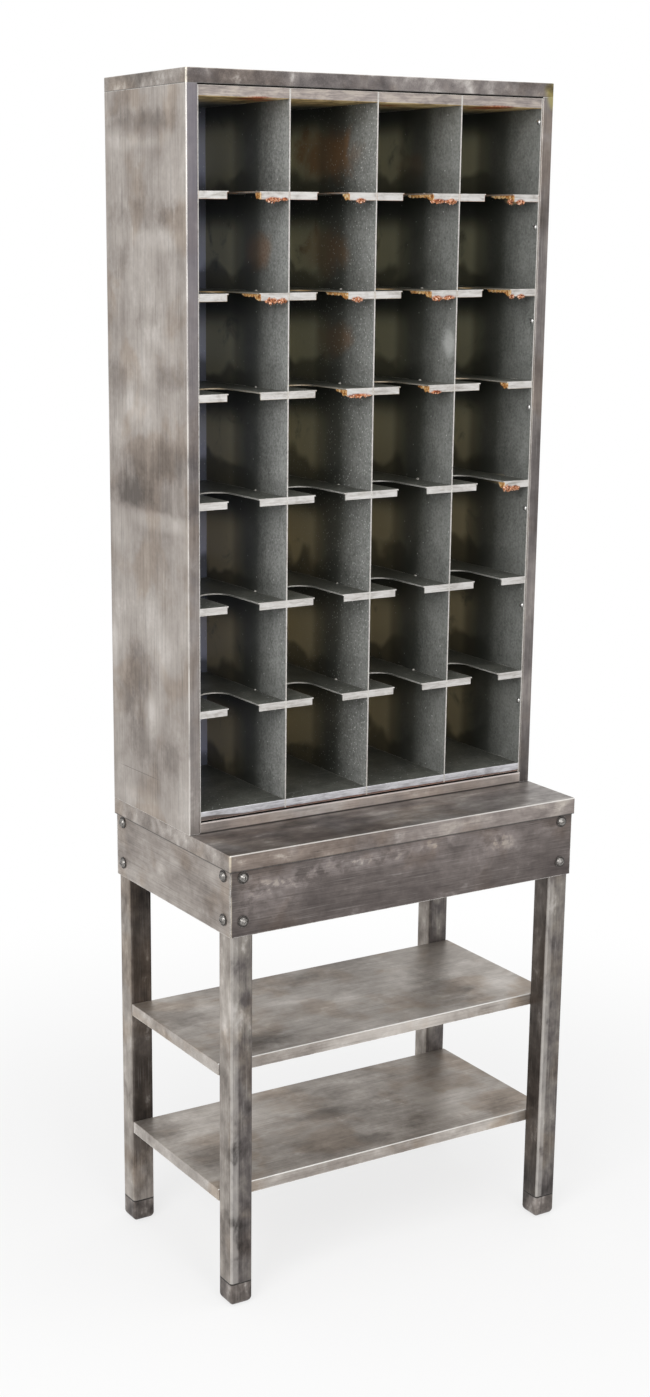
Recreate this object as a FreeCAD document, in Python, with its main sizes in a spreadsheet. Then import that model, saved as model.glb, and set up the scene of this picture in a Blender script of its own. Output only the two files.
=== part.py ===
import FreeCAD, Part
import math
import os
import Sketcher

# A tall pigeonhole cabinet of folded sheet steel on a steel work table with two open shelves.
# Millimetres. The origin is on the floor under the middle of the object: +X to its right,
# +Y to its back, +Z up.

doc = FreeCAD.newDocument("mail_sorter")

# ---------------------------------------------------------------------------------- sizes

SIZES = {
    # table
    "top_width": 686,
    "top_depth": 400,
    "table_height": 784.5,
    "stand_sheet": 2,
    "top_lip": 28,
    "lip_gap": 1.2,
    "apron_drop": 109,
    "apron_flange": 16,
    "flange_gap": 1,
    "leg_size": 41.3,
    "leg_wall": 2,
    "leg_corner": 5.5,
    "foot_height": 41,
    "foot_spigot": 25,
    "foot_fit": 0.3,
    "foot_bevel": 0.8,
    "foot_round": 11,
    "pan_lip": 20.5,
    "lower_pan_height": 196.5,
    "upper_pan_height": 419,
    "fold_round": 1.5,
    # cabinet shell
    "cabinet_setback": 130.5,
    "shell_sheet": 2,
    "back_sheet": 1.2,
    "cap_lip": 22,
    "stile_width": 20,
    "stile_return": 18,
    "rear_flange": 20,
    "rail_height": 18,
    "back_rise": 12,
    # pigeonhole insert
    "insert_sheet": 2,
    "insert_back_sheet": 1.2,
    "insert_front_gap": 0.3,
    "insert_side_gap": 0.2,
    "rail_gap": 3,
    "cap_gap": 2,
    "sill_lip": 14.5,
    "shelf_lip": 12,
    "crown_lip": 16,
    "columns": 4,
    "lower_rows": 4,
    "upper_rows": 3,
    "lower_pitch": 166.5,
    "upper_pitch": 151.5,
    "notch_width": 55,
    "notch_depth": 116,
    "lip_relief": 2.5,
    "halving_gap": 0.2,
    "tab_width": 20,
    "tab_inset": 40,
    "tab_gap": 0.2,
    # apron screws
    "screw_size": 8,
    "screw_gap": 0.3,
    "screw_head": 15,
    "screw_dome": 5.5,
    "screw_slot": 1.8,
    "screw_slot_depth": 2.4,
    "screw_spare": 1.5,
    "upper_screw_drop": 39.5,
    "lower_screw_drop": 112,
    "washer_width": 20,
    "washer_thickness": 1.6,
    "nut_across": 13,
    "nut_height": 6.5,
    # cabinet bolts
    "bolt_size": 8,
    "bolt_gap": 0.5,
    "bolt_across": 13,
    "bolt_head": 5.3,
    "bolt_spare": 2,
    "bolt_side_inset": 70,
    "bolt_end_inset": 50,
    # rivets
    "rivet_size": 4.8,
    "rivet_gap": 0.1,
    "rivet_head": 9,
    "rivet_dome": 2.2,
    "rivet_tail": 7,
    "rivet_tail_height": 2.4,
    "side_rivet_inset": 7,
    "side_rivet_drop": 48,
    "back_rivets": 6,
    "back_rivet_inset": 60,
}

sizes = doc.addObject("Spreadsheet::Sheet", "Sizes")
for row, (alias, number) in enumerate(SIZES.items(), start=1):
    sizes.set("A%d" % row, alias)
    sizes.set("B%d" % row, str(number))
    sizes.setAlias("B%d" % row, alias)
doc.recompute()

# Places worked out from the sizes. Each formula may use the sizes and the places above it.
PLACES = {
    "half_width": "Sizes.top_width / 2",
    "half_depth": "Sizes.top_depth / 2",
    "top_under": "Sizes.table_height - Sizes.stand_sheet",
    "apron_side": "half_width - Sizes.stand_sheet - Sizes.lip_gap",
    "apron_face": "half_depth - Sizes.stand_sheet - Sizes.lip_gap",
    "apron_bottom": "Sizes.table_height - Sizes.top_lip - Sizes.apron_drop",
    "leg_side": "apron_side - Sizes.stand_sheet",
    "leg_face": "apron_face - Sizes.stand_sheet",
    "leg_across": "leg_side - Sizes.leg_size / 2",
    "leg_along": "leg_face - Sizes.leg_size / 2",
    "pan_depth": "2 * (leg_face - Sizes.leg_size)",
    "front": "Sizes.cabinet_setback - half_depth",
    "opening_side": "half_width - Sizes.stile_width",
    "insert_front": "front + Sizes.shell_sheet + Sizes.insert_front_gap",
    "insert_side": "opening_side - Sizes.insert_side_gap",
    "wall_inside": "insert_side - Sizes.insert_sheet",
    "column_pitch": "(2 * insert_side - Sizes.insert_sheet) / Sizes.columns",
    "back_inside": "half_depth - Sizes.shell_sheet - Sizes.back_sheet",
    "insert_rear": "back_inside - Sizes.insert_back_sheet",
    "insert_middle": "(insert_front + insert_rear) / 2",
    "base_top": "Sizes.table_height + Sizes.shell_sheet",
    "first_level": "Sizes.table_height + Sizes.rail_height + Sizes.rail_gap + Sizes.sill_lip",
    "change_level": "first_level + Sizes.lower_rows * Sizes.lower_pitch",
    "last_level": "change_level + Sizes.upper_rows * Sizes.upper_pitch",
    "crown_level": "last_level - Sizes.crown_lip + Sizes.insert_sheet",
    "cap_bottom": "last_level + Sizes.cap_gap",
    "cap_top": "cap_bottom + Sizes.cap_lip",
}

places = doc.addObject("Spreadsheet::Sheet", "Places")
for row, (alias, formula) in enumerate(PLACES.items(), start=1):
    places.set("A%d" % row, alias)
    places.set("B%d" % row, "=" + formula)
    places.setAlias("B%d" % row, alias)
    doc.recompute()


def value(formula):
    """The number that an expression on the two sheets comes to."""
    return float(sizes.evalExpression(str(formula)))


rows = int(value("Sizes.lower_rows + Sizes.upper_rows"))
columns = int(value("Sizes.columns"))
parts = []


# -------------------------------------------------------------------------------- helpers

def place(node, across="0", along="0", up="0"):
    """Binds the place of a finished piece."""
    for axis, formula in (("x", across), ("y", along), ("z", up)):
        node.setExpression(".Placement.Base." + axis, formula)


def body(label):
    made = doc.addObject("PartDesign::Body", label)
    made.Label = label
    parts.append(made)
    return made


def sketch(owner, role, offset="0"):
    """An empty sketch on one of the body's own origin planes, moved along the plane's normal."""
    made = owner.newObject("Sketcher::SketchObject", owner.Name + "_sketch")
    plane = [item for item in owner.Origin.OriginFeatures if item.Role == role][0]
    made.AttachmentSupport = [(plane, "")]
    made.MapMode = "FlatFace"
    made.setExpression(".AttachmentOffset.Base.z", offset)
    return made


def pin(made, constraints):
    """Adds (kind, first, first point, second, second point, formula) rows bound to the sheets."""
    drawn = []
    for kind, first, first_point, second, second_point, formula in constraints:
        number = value(formula)
        drawn.append(Sketcher.Constraint(kind, first, first_point, second, second_point, number))
    indexes = made.addConstraint(drawn)
    for index, row in zip(indexes, constraints):
        made.setExpression("Constraints[%d]" % index, row[5])


def outline(made, points):
    """A closed loop of straight lines through (across, up) pairs of formulas."""
    spots = [FreeCAD.Vector(value(across), value(up), 0) for across, up in points]
    first = made.GeometryCount
    count = len(spots)
    for index, spot in enumerate(spots):
        made.addGeometry(Part.LineSegment(spot, spots[(index + 1) % count]))
    corners = []
    for index in range(count):
        after = first + (index + 1) % count
        corners.append(Sketcher.Constraint("Coincident", first + index, 2, after, 1))
    made.addConstraint(corners)
    pinned = []
    for index, (across, up) in enumerate(points):
        pinned.append(("DistanceX", -1, 1, first + index, 1, across))
        pinned.append(("DistanceY", -1, 1, first + index, 1, up))
    pin(made, pinned)


def rectangle(made, left, right, low, high):
    outline(made, [(left, low), (right, low), (right, high), (left, high)])


def circle(made, across, up, diameter):
    spot = FreeCAD.Vector(value(across), value(up), 0)
    index = made.addGeometry(Part.Circle(spot, FreeCAD.Vector(0, 0, 1), value(diameter) / 2))
    pin(made, [("DistanceX", -1, 1, index, 3, across), ("DistanceY", -1, 1, index, 3, up)])
    size = made.addConstraint(Sketcher.Constraint("Diameter", index, value(diameter)))
    made.setExpression("Constraints[%d]" % size, diameter)


def finger_outline(made, middle, half, mouth, reach):
    """A slot with straight sides, open at the mouth line, that ends in a half circle."""
    left, right = value(middle) - value(half), value(middle) + value(half)
    near, centre = value(mouth), value(reach) - value(half)
    corners = [FreeCAD.Vector(*spot, 0) for spot in
               ((right, near), (left, near), (left, centre), (right, centre))]
    tip = FreeCAD.Vector(value(middle), value(reach), 0)
    mouth_line = made.addGeometry(Part.LineSegment(corners[0], corners[1]))
    left_line = made.addGeometry(Part.LineSegment(corners[1], corners[2]))
    right_line = made.addGeometry(Part.LineSegment(corners[3], corners[0]))
    arc = made.addGeometry(Part.Arc(corners[3], tip, corners[2]))
    made.addConstraint([
        Sketcher.Constraint("Coincident", mouth_line, 2, left_line, 1),
        Sketcher.Constraint("Coincident", right_line, 2, mouth_line, 1),
        Sketcher.Constraint("Tangent", left_line, 2, arc, 2),
        Sketcher.Constraint("Tangent", right_line, 1, arc, 1),
        Sketcher.Constraint("Vertical", left_line),
        Sketcher.Constraint("Vertical", right_line),
    ])
    pin(made, [
        ("DistanceX", -1, 1, mouth_line, 1, middle + " + " + half),
        ("DistanceY", -1, 1, mouth_line, 1, mouth),
        ("DistanceX", -1, 1, mouth_line, 2, middle + " - " + half),
        ("DistanceY", -1, 1, mouth_line, 2, mouth),
        ("DistanceY", -1, 1, arc, 3, reach + " - " + half),
    ])


def pad(owner, profile, length, down=False, middle=False):
    """Adds material from the sketch plane, and checks that the body grew."""
    doc.recompute()
    before = owner.Shape.Volume if owner.Tip else 0
    made = owner.newObject("PartDesign::Pad", owner.Name + "_pad")
    made.Profile = profile
    made.Reversed = down
    made.Midplane = middle
    made.setExpression("Length", length)
    doc.recompute()
    if owner.Shape.Volume <= before:
        raise RuntimeError(owner.Label + ": the pad adds nothing")
    return made


def pocket(owner, profile, length, reverse=False, middle=False):
    """Takes material away against the sketch normal, and checks that the body shrank."""
    doc.recompute()
    before = owner.Shape.Volume
    made = owner.newObject("PartDesign::Pocket", owner.Name + "_pocket")
    made.Profile = profile
    made.Reversed = reverse
    made.Midplane = middle
    made.setExpression("Length", length)
    doc.recompute()
    if owner.Shape.Volume >= before:
        raise RuntimeError(owner.Label + ": the pocket cuts nothing")
    return made


def row_pattern(owner, feature, profile, spacing, count):
    """Repeats a feature along the sketch's own X axis."""
    made = owner.newObject("PartDesign::LinearPattern", owner.Name + "_pattern")
    made.Originals = [feature]
    made.Direction = (profile, ["H_Axis"])
    made.Mode = "Spacing"
    made.setExpression("Offset", spacing)
    made.setExpression("Occurrences", count)
    owner.Tip = made
    doc.recompute()
    return made


def dress(owner, kind, names, setting, formula):
    """Rounds or bevels the named edges of the body as it stands."""
    if not names:
        raise RuntimeError(owner.Label + ": no edge to dress")
    base = owner.Tip
    made = owner.newObject("PartDesign::" + kind, owner.Name + "_" + kind.lower())
    made.Base = (base, names)
    made.setExpression(setting, formula)
    doc.recompute()
    return made


def round_edges(owner, radius, chosen):
    """Rounds the straight edges for which chosen(middle, direction) holds."""
    doc.recompute()
    names = []
    for index, edge in enumerate(owner.Shape.Edges, start=1):
        start, end = edge.Vertexes[0].Point, edge.Vertexes[-1].Point
        span = start.distanceToPoint(end)
        straight = span > 0.1 and near(span, edge.Length)
        if straight and chosen((start + end) / 2, (end - start).normalize()):
            names.append("Edge%d" % index)
    dress(owner, "Fillet", names, "Radius", radius)


def rim_edges(owner, height):
    """Names of the edges that lie level at a height."""
    doc.recompute()
    return ["Edge%d" % index for index, edge in enumerate(owner.Shape.Edges, start=1)
            if near(edge.BoundBox.ZMin, height) and near(edge.BoundBox.ZMax, height)]


def near(first, second):
    return abs(first - second) < 0.01


def upright(direction):
    return abs(direction.z) > 0.99


def group(label, solids):
    """Identical fasteners: separate solids in one piece of the model."""
    made = doc.addObject("Part::Feature", label)
    made.Label = label
    made.Shape = Part.makeCompound(solids)
    parts.append(made)
    return made


def signed(sign, formula):
    """The formula on the right-hand or rear side, or its mirror on the other side."""
    return formula if sign > 0 else "-(" + formula + ")"


def side_name(sign):
    return "right" if sign > 0 else "left"


def end_name(sign):
    return "rear" if sign > 0 else "front"


def level(index):
    """Height of the upper face of the plate under row number index, counted from the bottom."""
    lower = int(value("Sizes.lower_rows"))
    if index <= lower:
        return "(Places.first_level + %d * Sizes.lower_pitch)" % index
    return "(Places.change_level + %d * Sizes.upper_pitch)" % (index - lower)


def column_middle(index):
    """Across position of the middle of a column, counted from the left."""
    return "(Places.column_pitch * (%d + 0.5 - Sizes.columns / 2))" % index


def divider_across(index):
    return "(Places.column_pitch * (%d - Sizes.columns / 2))" % index


# ----------------------------------------------------------------------------- folded trays

def tray(label, half_across, front, rear, top, lip, sheet):
    """A flat plate with a lip folded down on all four sides and welded corners."""
    made = body(label)
    outer = sketch(made, "XY_Plane", top)
    rectangle(outer, "-(" + half_across + ")", half_across, front, rear)
    pad(made, outer, lip, down=True)
    inner = sketch(made, "XY_Plane", top + " - " + sheet)
    rectangle(inner, "-(" + half_across + ") + " + sheet, half_across + " - " + sheet,
              front + " + " + sheet, rear + " - " + sheet)
    pocket(made, inner, lip)
    return made


def round_tray(made, half_across, front, rear, top):
    """Rounds the folds of a tray: its four upper edges and its four outer corners."""
    side, near_end, far_end, height = (value(item) for item in (half_across, front, rear, top))

    def outer_edge(middle, direction):
        on_side = near(abs(middle.x), side)
        on_end = near(middle.y, near_end) or near(middle.y, far_end)
        if upright(direction):
            return on_side and on_end
        return near(middle.z, height) and (on_side or on_end)

    round_edges(made, "Sizes.fold_round", outer_edge)


# ---------------------------------------------------------------------------------- table

def bolt_spots():
    """The four bolts that hold the cabinet down, as (across, along) pairs of formulas."""
    across = "(Places.half_width - Sizes.bolt_side_inset)"
    front_row = "(Places.front + Sizes.bolt_end_inset)"
    rear_row = "(Places.half_depth - Sizes.bolt_end_inset)"
    return [(signed(sign, across), along) for sign in (-1, 1) for along in (front_row, rear_row)]


def drill_bolts(made, top, thickness):
    """Clearance holes for the cabinet bolts through a level sheet."""
    holes = sketch(made, "XY_Plane", top)
    for across, along in bolt_spots():
        circle(holes, across, along, "Sizes.bolt_size + Sizes.bolt_gap")
    pocket(made, holes, thickness)


def make_table_top():
    edges = ("Places.half_width", "-Places.half_depth", "Places.half_depth")
    top = tray("table_top", *edges, "Sizes.table_height", "Sizes.top_lip", "Sizes.stand_sheet")
    drill_bolts(top, "Sizes.table_height", "Sizes.stand_sheet")
    round_tray(top, *edges, "Sizes.table_height")


def screw_heights():
    return ["(Sizes.table_height - Sizes.upper_screw_drop)",
            "(Sizes.table_height - Sizes.lower_screw_drop)"]


def make_apron(label, role, sign, half_length, face, leg_line, flange_half):
    """One apron panel with a flange folded inwards between the legs.

    role is the plane that the panel is parallel to, face the distance of its outer face from
    the middle of the table, and leg_line the distance of the screws from its middle."""
    made = body(label)
    along_x = role == "XZ_Plane"
    outward = signed(-sign, face) if along_x else signed(sign, face)
    web = sketch(made, role, outward)
    rectangle(web, "-(" + half_length + ")", half_length, "Places.apron_bottom",
              "Places.top_under")
    pad(made, web, "Sizes.stand_sheet", down=sign < 0 if along_x else sign > 0)
    flange = sketch(made, "XY_Plane", "Places.apron_bottom")
    outer = signed(sign, face)
    inner = signed(sign, face + " - Sizes.stand_sheet - Sizes.apron_flange")
    if along_x:
        rectangle(flange, "-(" + flange_half + ")", flange_half, outer, inner)
    else:
        rectangle(flange, outer, inner, "-(" + flange_half + ")", flange_half)
    pad(made, flange, "Sizes.stand_sheet")
    holes = sketch(made, role, outward)
    for screw_sign in (-1, 1):
        for height in screw_heights():
            circle(holes, signed(screw_sign, leg_line), height,
                   "Sizes.screw_size + Sizes.screw_gap")
    pocket(made, holes, "4 * Sizes.stand_sheet", middle=True)
    return made


def make_aprons():
    between_legs = "(Places.{0} - Sizes.leg_size - Sizes.flange_gap)"
    for sign in (-1, 1):
        make_apron(end_name(sign) + "_apron", "XZ_Plane", sign, "Places.apron_side",
                   "Places.apron_face", "Places.leg_across", between_legs.format("leg_side"))
        make_apron(side_name(sign) + "_apron", "YZ_Plane", sign,
                   "(Places.apron_face - Sizes.stand_sheet)", "Places.apron_side",
                   "Places.leg_along", between_legs.format("leg_face"))


def pan_rivet_heights():
    """Heights of the rivets that hold the two shelf pans, at the middle of each pan's lip."""
    return ["(Sizes.%s_pan_height - Sizes.pan_lip / 2)" % name for name in ("lower", "upper")]


def make_leg(across_sign, along_sign):
    """A square tube with screw holes in its two outer walls and rivet holes towards its shelf."""
    made = body("leg_%s_%s" % (end_name(along_sign), side_name(across_sign)))
    half = "(Sizes.leg_size / 2)"
    hollow = "(Sizes.leg_size / 2 - Sizes.leg_wall)"
    section = sketch(made, "XY_Plane", "Sizes.foot_height")
    rectangle(section, "-" + half, half, "-" + half, half)
    rectangle(section, "-" + hollow, hollow, "-" + hollow, hollow)
    pad(made, section, "Places.top_under - Sizes.foot_height")
    outside = value(half)
    round_edges(made, "Sizes.leg_corner", lambda middle, direction:
                upright(direction) and near(abs(middle.x), outside))
    round_edges(made, "Sizes.leg_corner - Sizes.leg_wall", lambda middle, direction:
                upright(direction) and near(abs(middle.x), outside - value("Sizes.leg_wall"))
                and near(abs(middle.y), outside - value("Sizes.leg_wall")))
    hole = "Sizes.screw_size + Sizes.screw_gap"
    facing_end = sketch(made, "XZ_Plane")
    facing_side = sketch(made, "YZ_Plane")
    facing_shelf = sketch(made, "XZ_Plane")
    for height in screw_heights():
        circle(facing_end, "0", height, hole)
        circle(facing_side, "0", height, hole)
    for height in pan_rivet_heights():
        circle(facing_shelf, "0", height, "Sizes.rivet_size + 2 * Sizes.rivet_gap")
    pocket(made, facing_end, half, reverse=along_sign < 0)
    pocket(made, facing_side, half, reverse=across_sign > 0)
    pocket(made, facing_shelf, half, reverse=along_sign > 0)
    place(made, signed(across_sign, "Places.leg_across"), signed(along_sign, "Places.leg_along"))


def make_foot(across_sign, along_sign):
    """A plug foot: a block of the leg's section below a bevelled seam, and a spigot above it."""
    made = body("foot_%s_%s" % (end_name(along_sign), side_name(across_sign)))
    half = "(Sizes.leg_size / 2)"
    block = sketch(made, "XY_Plane")
    rectangle(block, "-" + half, half, "-" + half, half)
    pad(made, block, "Sizes.foot_height")
    outside, top = value(half), value("Sizes.foot_height")
    dress(made, "Fillet", rim_edges(made, 0), "Radius", "Sizes.foot_round")
    round_edges(made, "Sizes.leg_corner", lambda middle, direction: upright(direction))
    dress(made, "Chamfer", rim_edges(made, top), "Size", "Sizes.foot_bevel")
    plug = "(Sizes.leg_size / 2 - Sizes.leg_wall - Sizes.foot_fit)"
    spigot = sketch(made, "XY_Plane", "Sizes.foot_height")
    rectangle(spigot, "-" + plug, plug, "-" + plug, plug)
    pad(made, spigot, "Sizes.foot_spigot")
    inside = value(plug)
    round_edges(made, "Sizes.leg_corner - Sizes.leg_wall", lambda middle, direction:
                upright(direction) and near(abs(middle.x), inside)
                and near(abs(middle.y), inside) and outside > inside)
    place(made, signed(across_sign, "Places.leg_across"), signed(along_sign, "Places.leg_along"))


def make_pan(name):
    """A shelf pan between the front and the rear legs, riveted to them through its lips."""
    height = "Sizes.%s_pan_height" % name
    edges = ("Places.leg_side", "-(Places.pan_depth / 2)", "(Places.pan_depth / 2)")
    made = tray(name + "_shelf", *edges, height, "Sizes.pan_lip", "Sizes.stand_sheet")
    round_tray(made, *edges, height)
    holes = sketch(made, "XZ_Plane")
    for sign in (-1, 1):
        circle(holes, signed(sign, "Places.leg_across"), height + " - Sizes.pan_lip / 2",
               "Sizes.rivet_size + 2 * Sizes.rivet_gap")
    pocket(made, holes, "Places.pan_depth", middle=True)


# ------------------------------------------------------------------------------- fasteners

def revolved(points):
    """A solid of revolution about Z through (radius, height) pairs that start and end on it."""
    spots = [FreeCAD.Vector(radius, 0, height) for radius, height in points]
    wire = Part.makePolygon(spots + spots[:1])
    return Part.Face(wire).revolve(FreeCAD.Vector(), FreeCAD.Vector(0, 0, 1), 360)


def dome(radius, height):
    """A spherical cap of the given foot radius and height, standing on z = 0."""
    sphere_radius = (radius ** 2 + height ** 2) / (2 * height)
    ball = Part.makeSphere(sphere_radius, FreeCAD.Vector(0, 0, height - sphere_radius))
    above = Part.makeBox(4 * radius, 4 * radius, 2 * height,
                         FreeCAD.Vector(-2 * radius, -2 * radius, 0))
    return ball.common(above)


def prism(across, height, hole=0):
    """A hexagon bar of the given size across its flats, standing on z = 0."""
    radius = across / math.sqrt(3)
    spots = [FreeCAD.Vector(radius * math.cos(math.radians(60 * turn)),
                            radius * math.sin(math.radians(60 * turn)), 0) for turn in range(7)]
    bar = Part.Face(Part.makePolygon(spots)).extrude(FreeCAD.Vector(0, 0, height))
    return bar.cut(Part.makeCylinder(hole / 2, height)) if hole else bar


def turned(solid, outward, spot, spin=0):
    """A fastener made along +Z, spun about itself, then pointed outwards at its spot."""
    copy = solid.copy()
    copy.rotate(FreeCAD.Vector(), FreeCAD.Vector(0, 0, 1), spin)
    turn = FreeCAD.Rotation(FreeCAD.Vector(0, 0, 1), outward)
    copy.Placement = FreeCAD.Placement(spot, turn).multiply(copy.Placement)
    return copy


def apron_screw_spots():
    """Where each apron screw enters: the outward direction and the point on the apron's face."""
    spots = []
    heights = [value(height) for height in screw_heights()]
    leg_across, leg_along = value("Places.leg_across"), value("Places.leg_along")
    side, face = value("Places.apron_side"), value("Places.apron_face")
    for across_sign in (-1, 1):
        for along_sign in (-1, 1):
            for height in heights:
                spots.append((FreeCAD.Vector(0, along_sign, 0),
                              FreeCAD.Vector(across_sign * leg_across, along_sign * face, height)))
                spots.append((FreeCAD.Vector(across_sign, 0, 0),
                              FreeCAD.Vector(across_sign * side, along_sign * leg_along, height)))
    return spots


# How far each apron screw stopped turning, in degrees, in the order of the spots.
SCREW_TURNS = (80, 15, 35, 60, 100, 20, 150, 70, 10, 95, 40, 130, 55, 165, 25, 110)


def make_apron_screws():
    size, head = value("Sizes.screw_size"), value("Sizes.screw_head")
    washer = value("Sizes.washer_thickness")
    grip = washer + value("Sizes.stand_sheet") + value("Sizes.leg_wall")
    reach = grip + value("Sizes.nut_height") + value("Sizes.screw_spare")
    slot, deep = value("Sizes.screw_slot"), value("Sizes.screw_slot_depth")
    rise = value("Sizes.screw_dome")
    screw = dome(head / 2, rise).fuse(Part.makeCylinder(
        size / 2, reach, FreeCAD.Vector(), FreeCAD.Vector(0, 0, -1)))
    screw = screw.cut(Part.makeBox(2 * head, slot, deep + rise,
                                   FreeCAD.Vector(-head, -slot / 2, rise - deep)))
    screw.translate(FreeCAD.Vector(0, 0, washer))
    hole = size + value("Sizes.screw_gap")
    ring = Part.makeCylinder(value("Sizes.washer_width") / 2, washer)
    ring = ring.cut(Part.makeCylinder(hole / 2, washer))
    nut = prism(value("Sizes.nut_across"), value("Sizes.nut_height"), size)
    nut.translate(FreeCAD.Vector(0, 0, washer - grip - value("Sizes.nut_height")))
    spots = apron_screw_spots()
    group("apron_screws", [turned(screw, outward, spot, SCREW_TURNS[index % len(SCREW_TURNS)])
                           for index, (outward, spot) in enumerate(spots)])
    group("apron_washers", [turned(ring, outward, spot) for outward, spot in spots])
    group("apron_nuts", [turned(nut, outward, spot) for outward, spot in spots])


def make_cabinet_bolts():
    """Hexagon bolts from inside the cabinet base through the table top, with nuts below."""
    size = value("Sizes.bolt_size")
    grip = value("Sizes.shell_sheet") + value("Sizes.stand_sheet")
    nut_height = value("Sizes.nut_height")
    reach = grip + nut_height + value("Sizes.bolt_spare")
    bolt = prism(value("Sizes.bolt_across"), value("Sizes.bolt_head")).fuse(
        Part.makeCylinder(size / 2, reach, FreeCAD.Vector(), FreeCAD.Vector(0, 0, -1)))
    nut = prism(value("Sizes.bolt_across"), nut_height, size)
    nut.translate(FreeCAD.Vector(0, 0, -grip - nut_height))
    upwards = FreeCAD.Vector(0, 0, 1)
    spots = [FreeCAD.Vector(value(across), value(along), value("Places.base_top"))
             for across, along in bolt_spots()]
    group("cabinet_bolts", [turned(bolt, upwards, spot) for spot in spots])
    group("cabinet_nuts", [turned(nut, upwards, spot) for spot in spots])


def rivet(grip):
    """A blind rivet with its domed head on z = 0, its shank below and its tail past the grip."""
    radius, tail = value("Sizes.rivet_size") / 2, value("Sizes.rivet_tail") / 2
    bulge = value("Sizes.rivet_tail_height")
    shank = revolved([(0, 0), (radius, 0), (radius, -grip), (tail, -grip),
                      (tail, -grip - bulge / 2), (radius, -grip - bulge), (0, -grip - bulge)])
    return dome(value("Sizes.rivet_head") / 2, value("Sizes.rivet_dome")).fuse(shank)


def make_pan_rivets():
    """Rivets from inside the shelf pans into the legs."""
    sheet, wall = value("Sizes.stand_sheet"), value("Sizes.leg_wall")
    made = rivet(sheet + wall)
    lip_inside = value("Places.pan_depth") / 2 - sheet
    across = value("Places.leg_across")
    solids = []
    for height in pan_rivet_heights():
        for across_sign in (-1, 1):
            for along_sign in (-1, 1):
                spot = FreeCAD.Vector(across_sign * across, along_sign * lip_inside, value(height))
                solids.append(turned(made, FreeCAD.Vector(0, -along_sign, 0), spot))
    group("shelf_rivets", solids)


# How far each row's side rivets sit above their usual height, counted from the bottom row.
RIVET_SHIFTS = (-7, -4, -2, 3, -5, -4, 11)


def side_rivet_heights():
    """One rivet in each row, below the plate that closes the row."""
    return ["(" + level(index + 1) + " - Sizes.side_rivet_drop + %d)" % RIVET_SHIFTS[
        index % len(RIVET_SHIFTS)] for index in range(rows)]


def make_insert_rivets():
    """Rivets from inside the pigeonholes through the insert's side wall and the stile's return."""
    wall, sheet = value("Sizes.insert_sheet"), value("Sizes.shell_sheet")
    made = rivet(wall + value("Sizes.insert_side_gap") + sheet)
    across = value("Places.wall_inside")
    along = value("Places.insert_front + Sizes.side_rivet_inset")
    group("insert_rivets", [
        turned(made, FreeCAD.Vector(-sign, 0, 0), FreeCAD.Vector(sign * across, along, value(up)))
        for sign in (-1, 1) for up in side_rivet_heights()])


def back_rivet_heights():
    """Evenly spaced heights of the rivets along each side of the back panel."""
    low = "(Places.base_top + Sizes.back_rivet_inset)"
    span = "(Places.cap_bottom - Places.base_top - 2 * Sizes.back_rivet_inset)"
    count = int(value("Sizes.back_rivets"))
    return ["(%s + %s * %d / (Sizes.back_rivets - 1))" % (low, span, index)
            for index in range(count)]


def make_back_rivets():
    made = rivet(value("Sizes.shell_sheet") + value("Sizes.back_sheet"))
    across = value("Places.half_width - Sizes.rear_flange / 2")
    along = value("Places.half_depth")
    group("back_rivets", [
        turned(made, FreeCAD.Vector(0, 1, 0), FreeCAD.Vector(sign * across, along, value(up)))
        for sign in (-1, 1) for up in back_rivet_heights()])


# --------------------------------------------------------------------------- cabinet shell

def make_cabinet_side(sign):
    """A side panel folded to a front stile with a return, and to a rear flange."""
    made = body("cabinet_%s_side" % side_name(sign))
    sheet = "Sizes.shell_sheet"
    outside, inside = "Places.half_width", "Places.opening_side"
    front, rear = "Places.front", "Places.half_depth"
    turn_end = front + " + Sizes.stile_return"
    flange_end = "Places.half_width - Sizes.rear_flange"
    profile = [
        (inside, turn_end), (inside, front), (outside, front), (outside, rear),
        (flange_end, rear), (flange_end, rear + " - " + sheet),
        (outside + " - " + sheet, rear + " - " + sheet),
        (outside + " - " + sheet, front + " + " + sheet),
        (inside + " + " + sheet, front + " + " + sheet), (inside + " + " + sheet, turn_end),
    ]
    section = sketch(made, "XY_Plane", "Sizes.table_height")
    outline(section, [(signed(sign, across), along) for across, along in profile])
    pad(made, section, "Places.cap_bottom - Sizes.table_height")
    folds = [(value(outside), value(front)), (value(inside), value(front)),
             (value(outside), value(rear))]
    round_edges(made, "Sizes.fold_round", lambda middle, direction:
                upright(direction) and any(near(abs(middle.x), across) and near(middle.y, along)
                                           for across, along in folds))
    hole = "Sizes.rivet_size + 2 * Sizes.rivet_gap"
    in_return = sketch(made, "YZ_Plane", signed(sign, inside))
    for height in side_rivet_heights():
        circle(in_return, "Places.insert_front + Sizes.side_rivet_inset", height, hole)
    pocket(made, in_return, "3 * " + sheet, middle=True)
    in_flange = sketch(made, "XZ_Plane", "-Places.half_depth")
    for height in back_rivet_heights():
        circle(in_flange, signed(sign, "Places.half_width - Sizes.rear_flange / 2"), height, hole)
    pocket(made, in_flange, "3 * " + sheet, middle=True)


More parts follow.
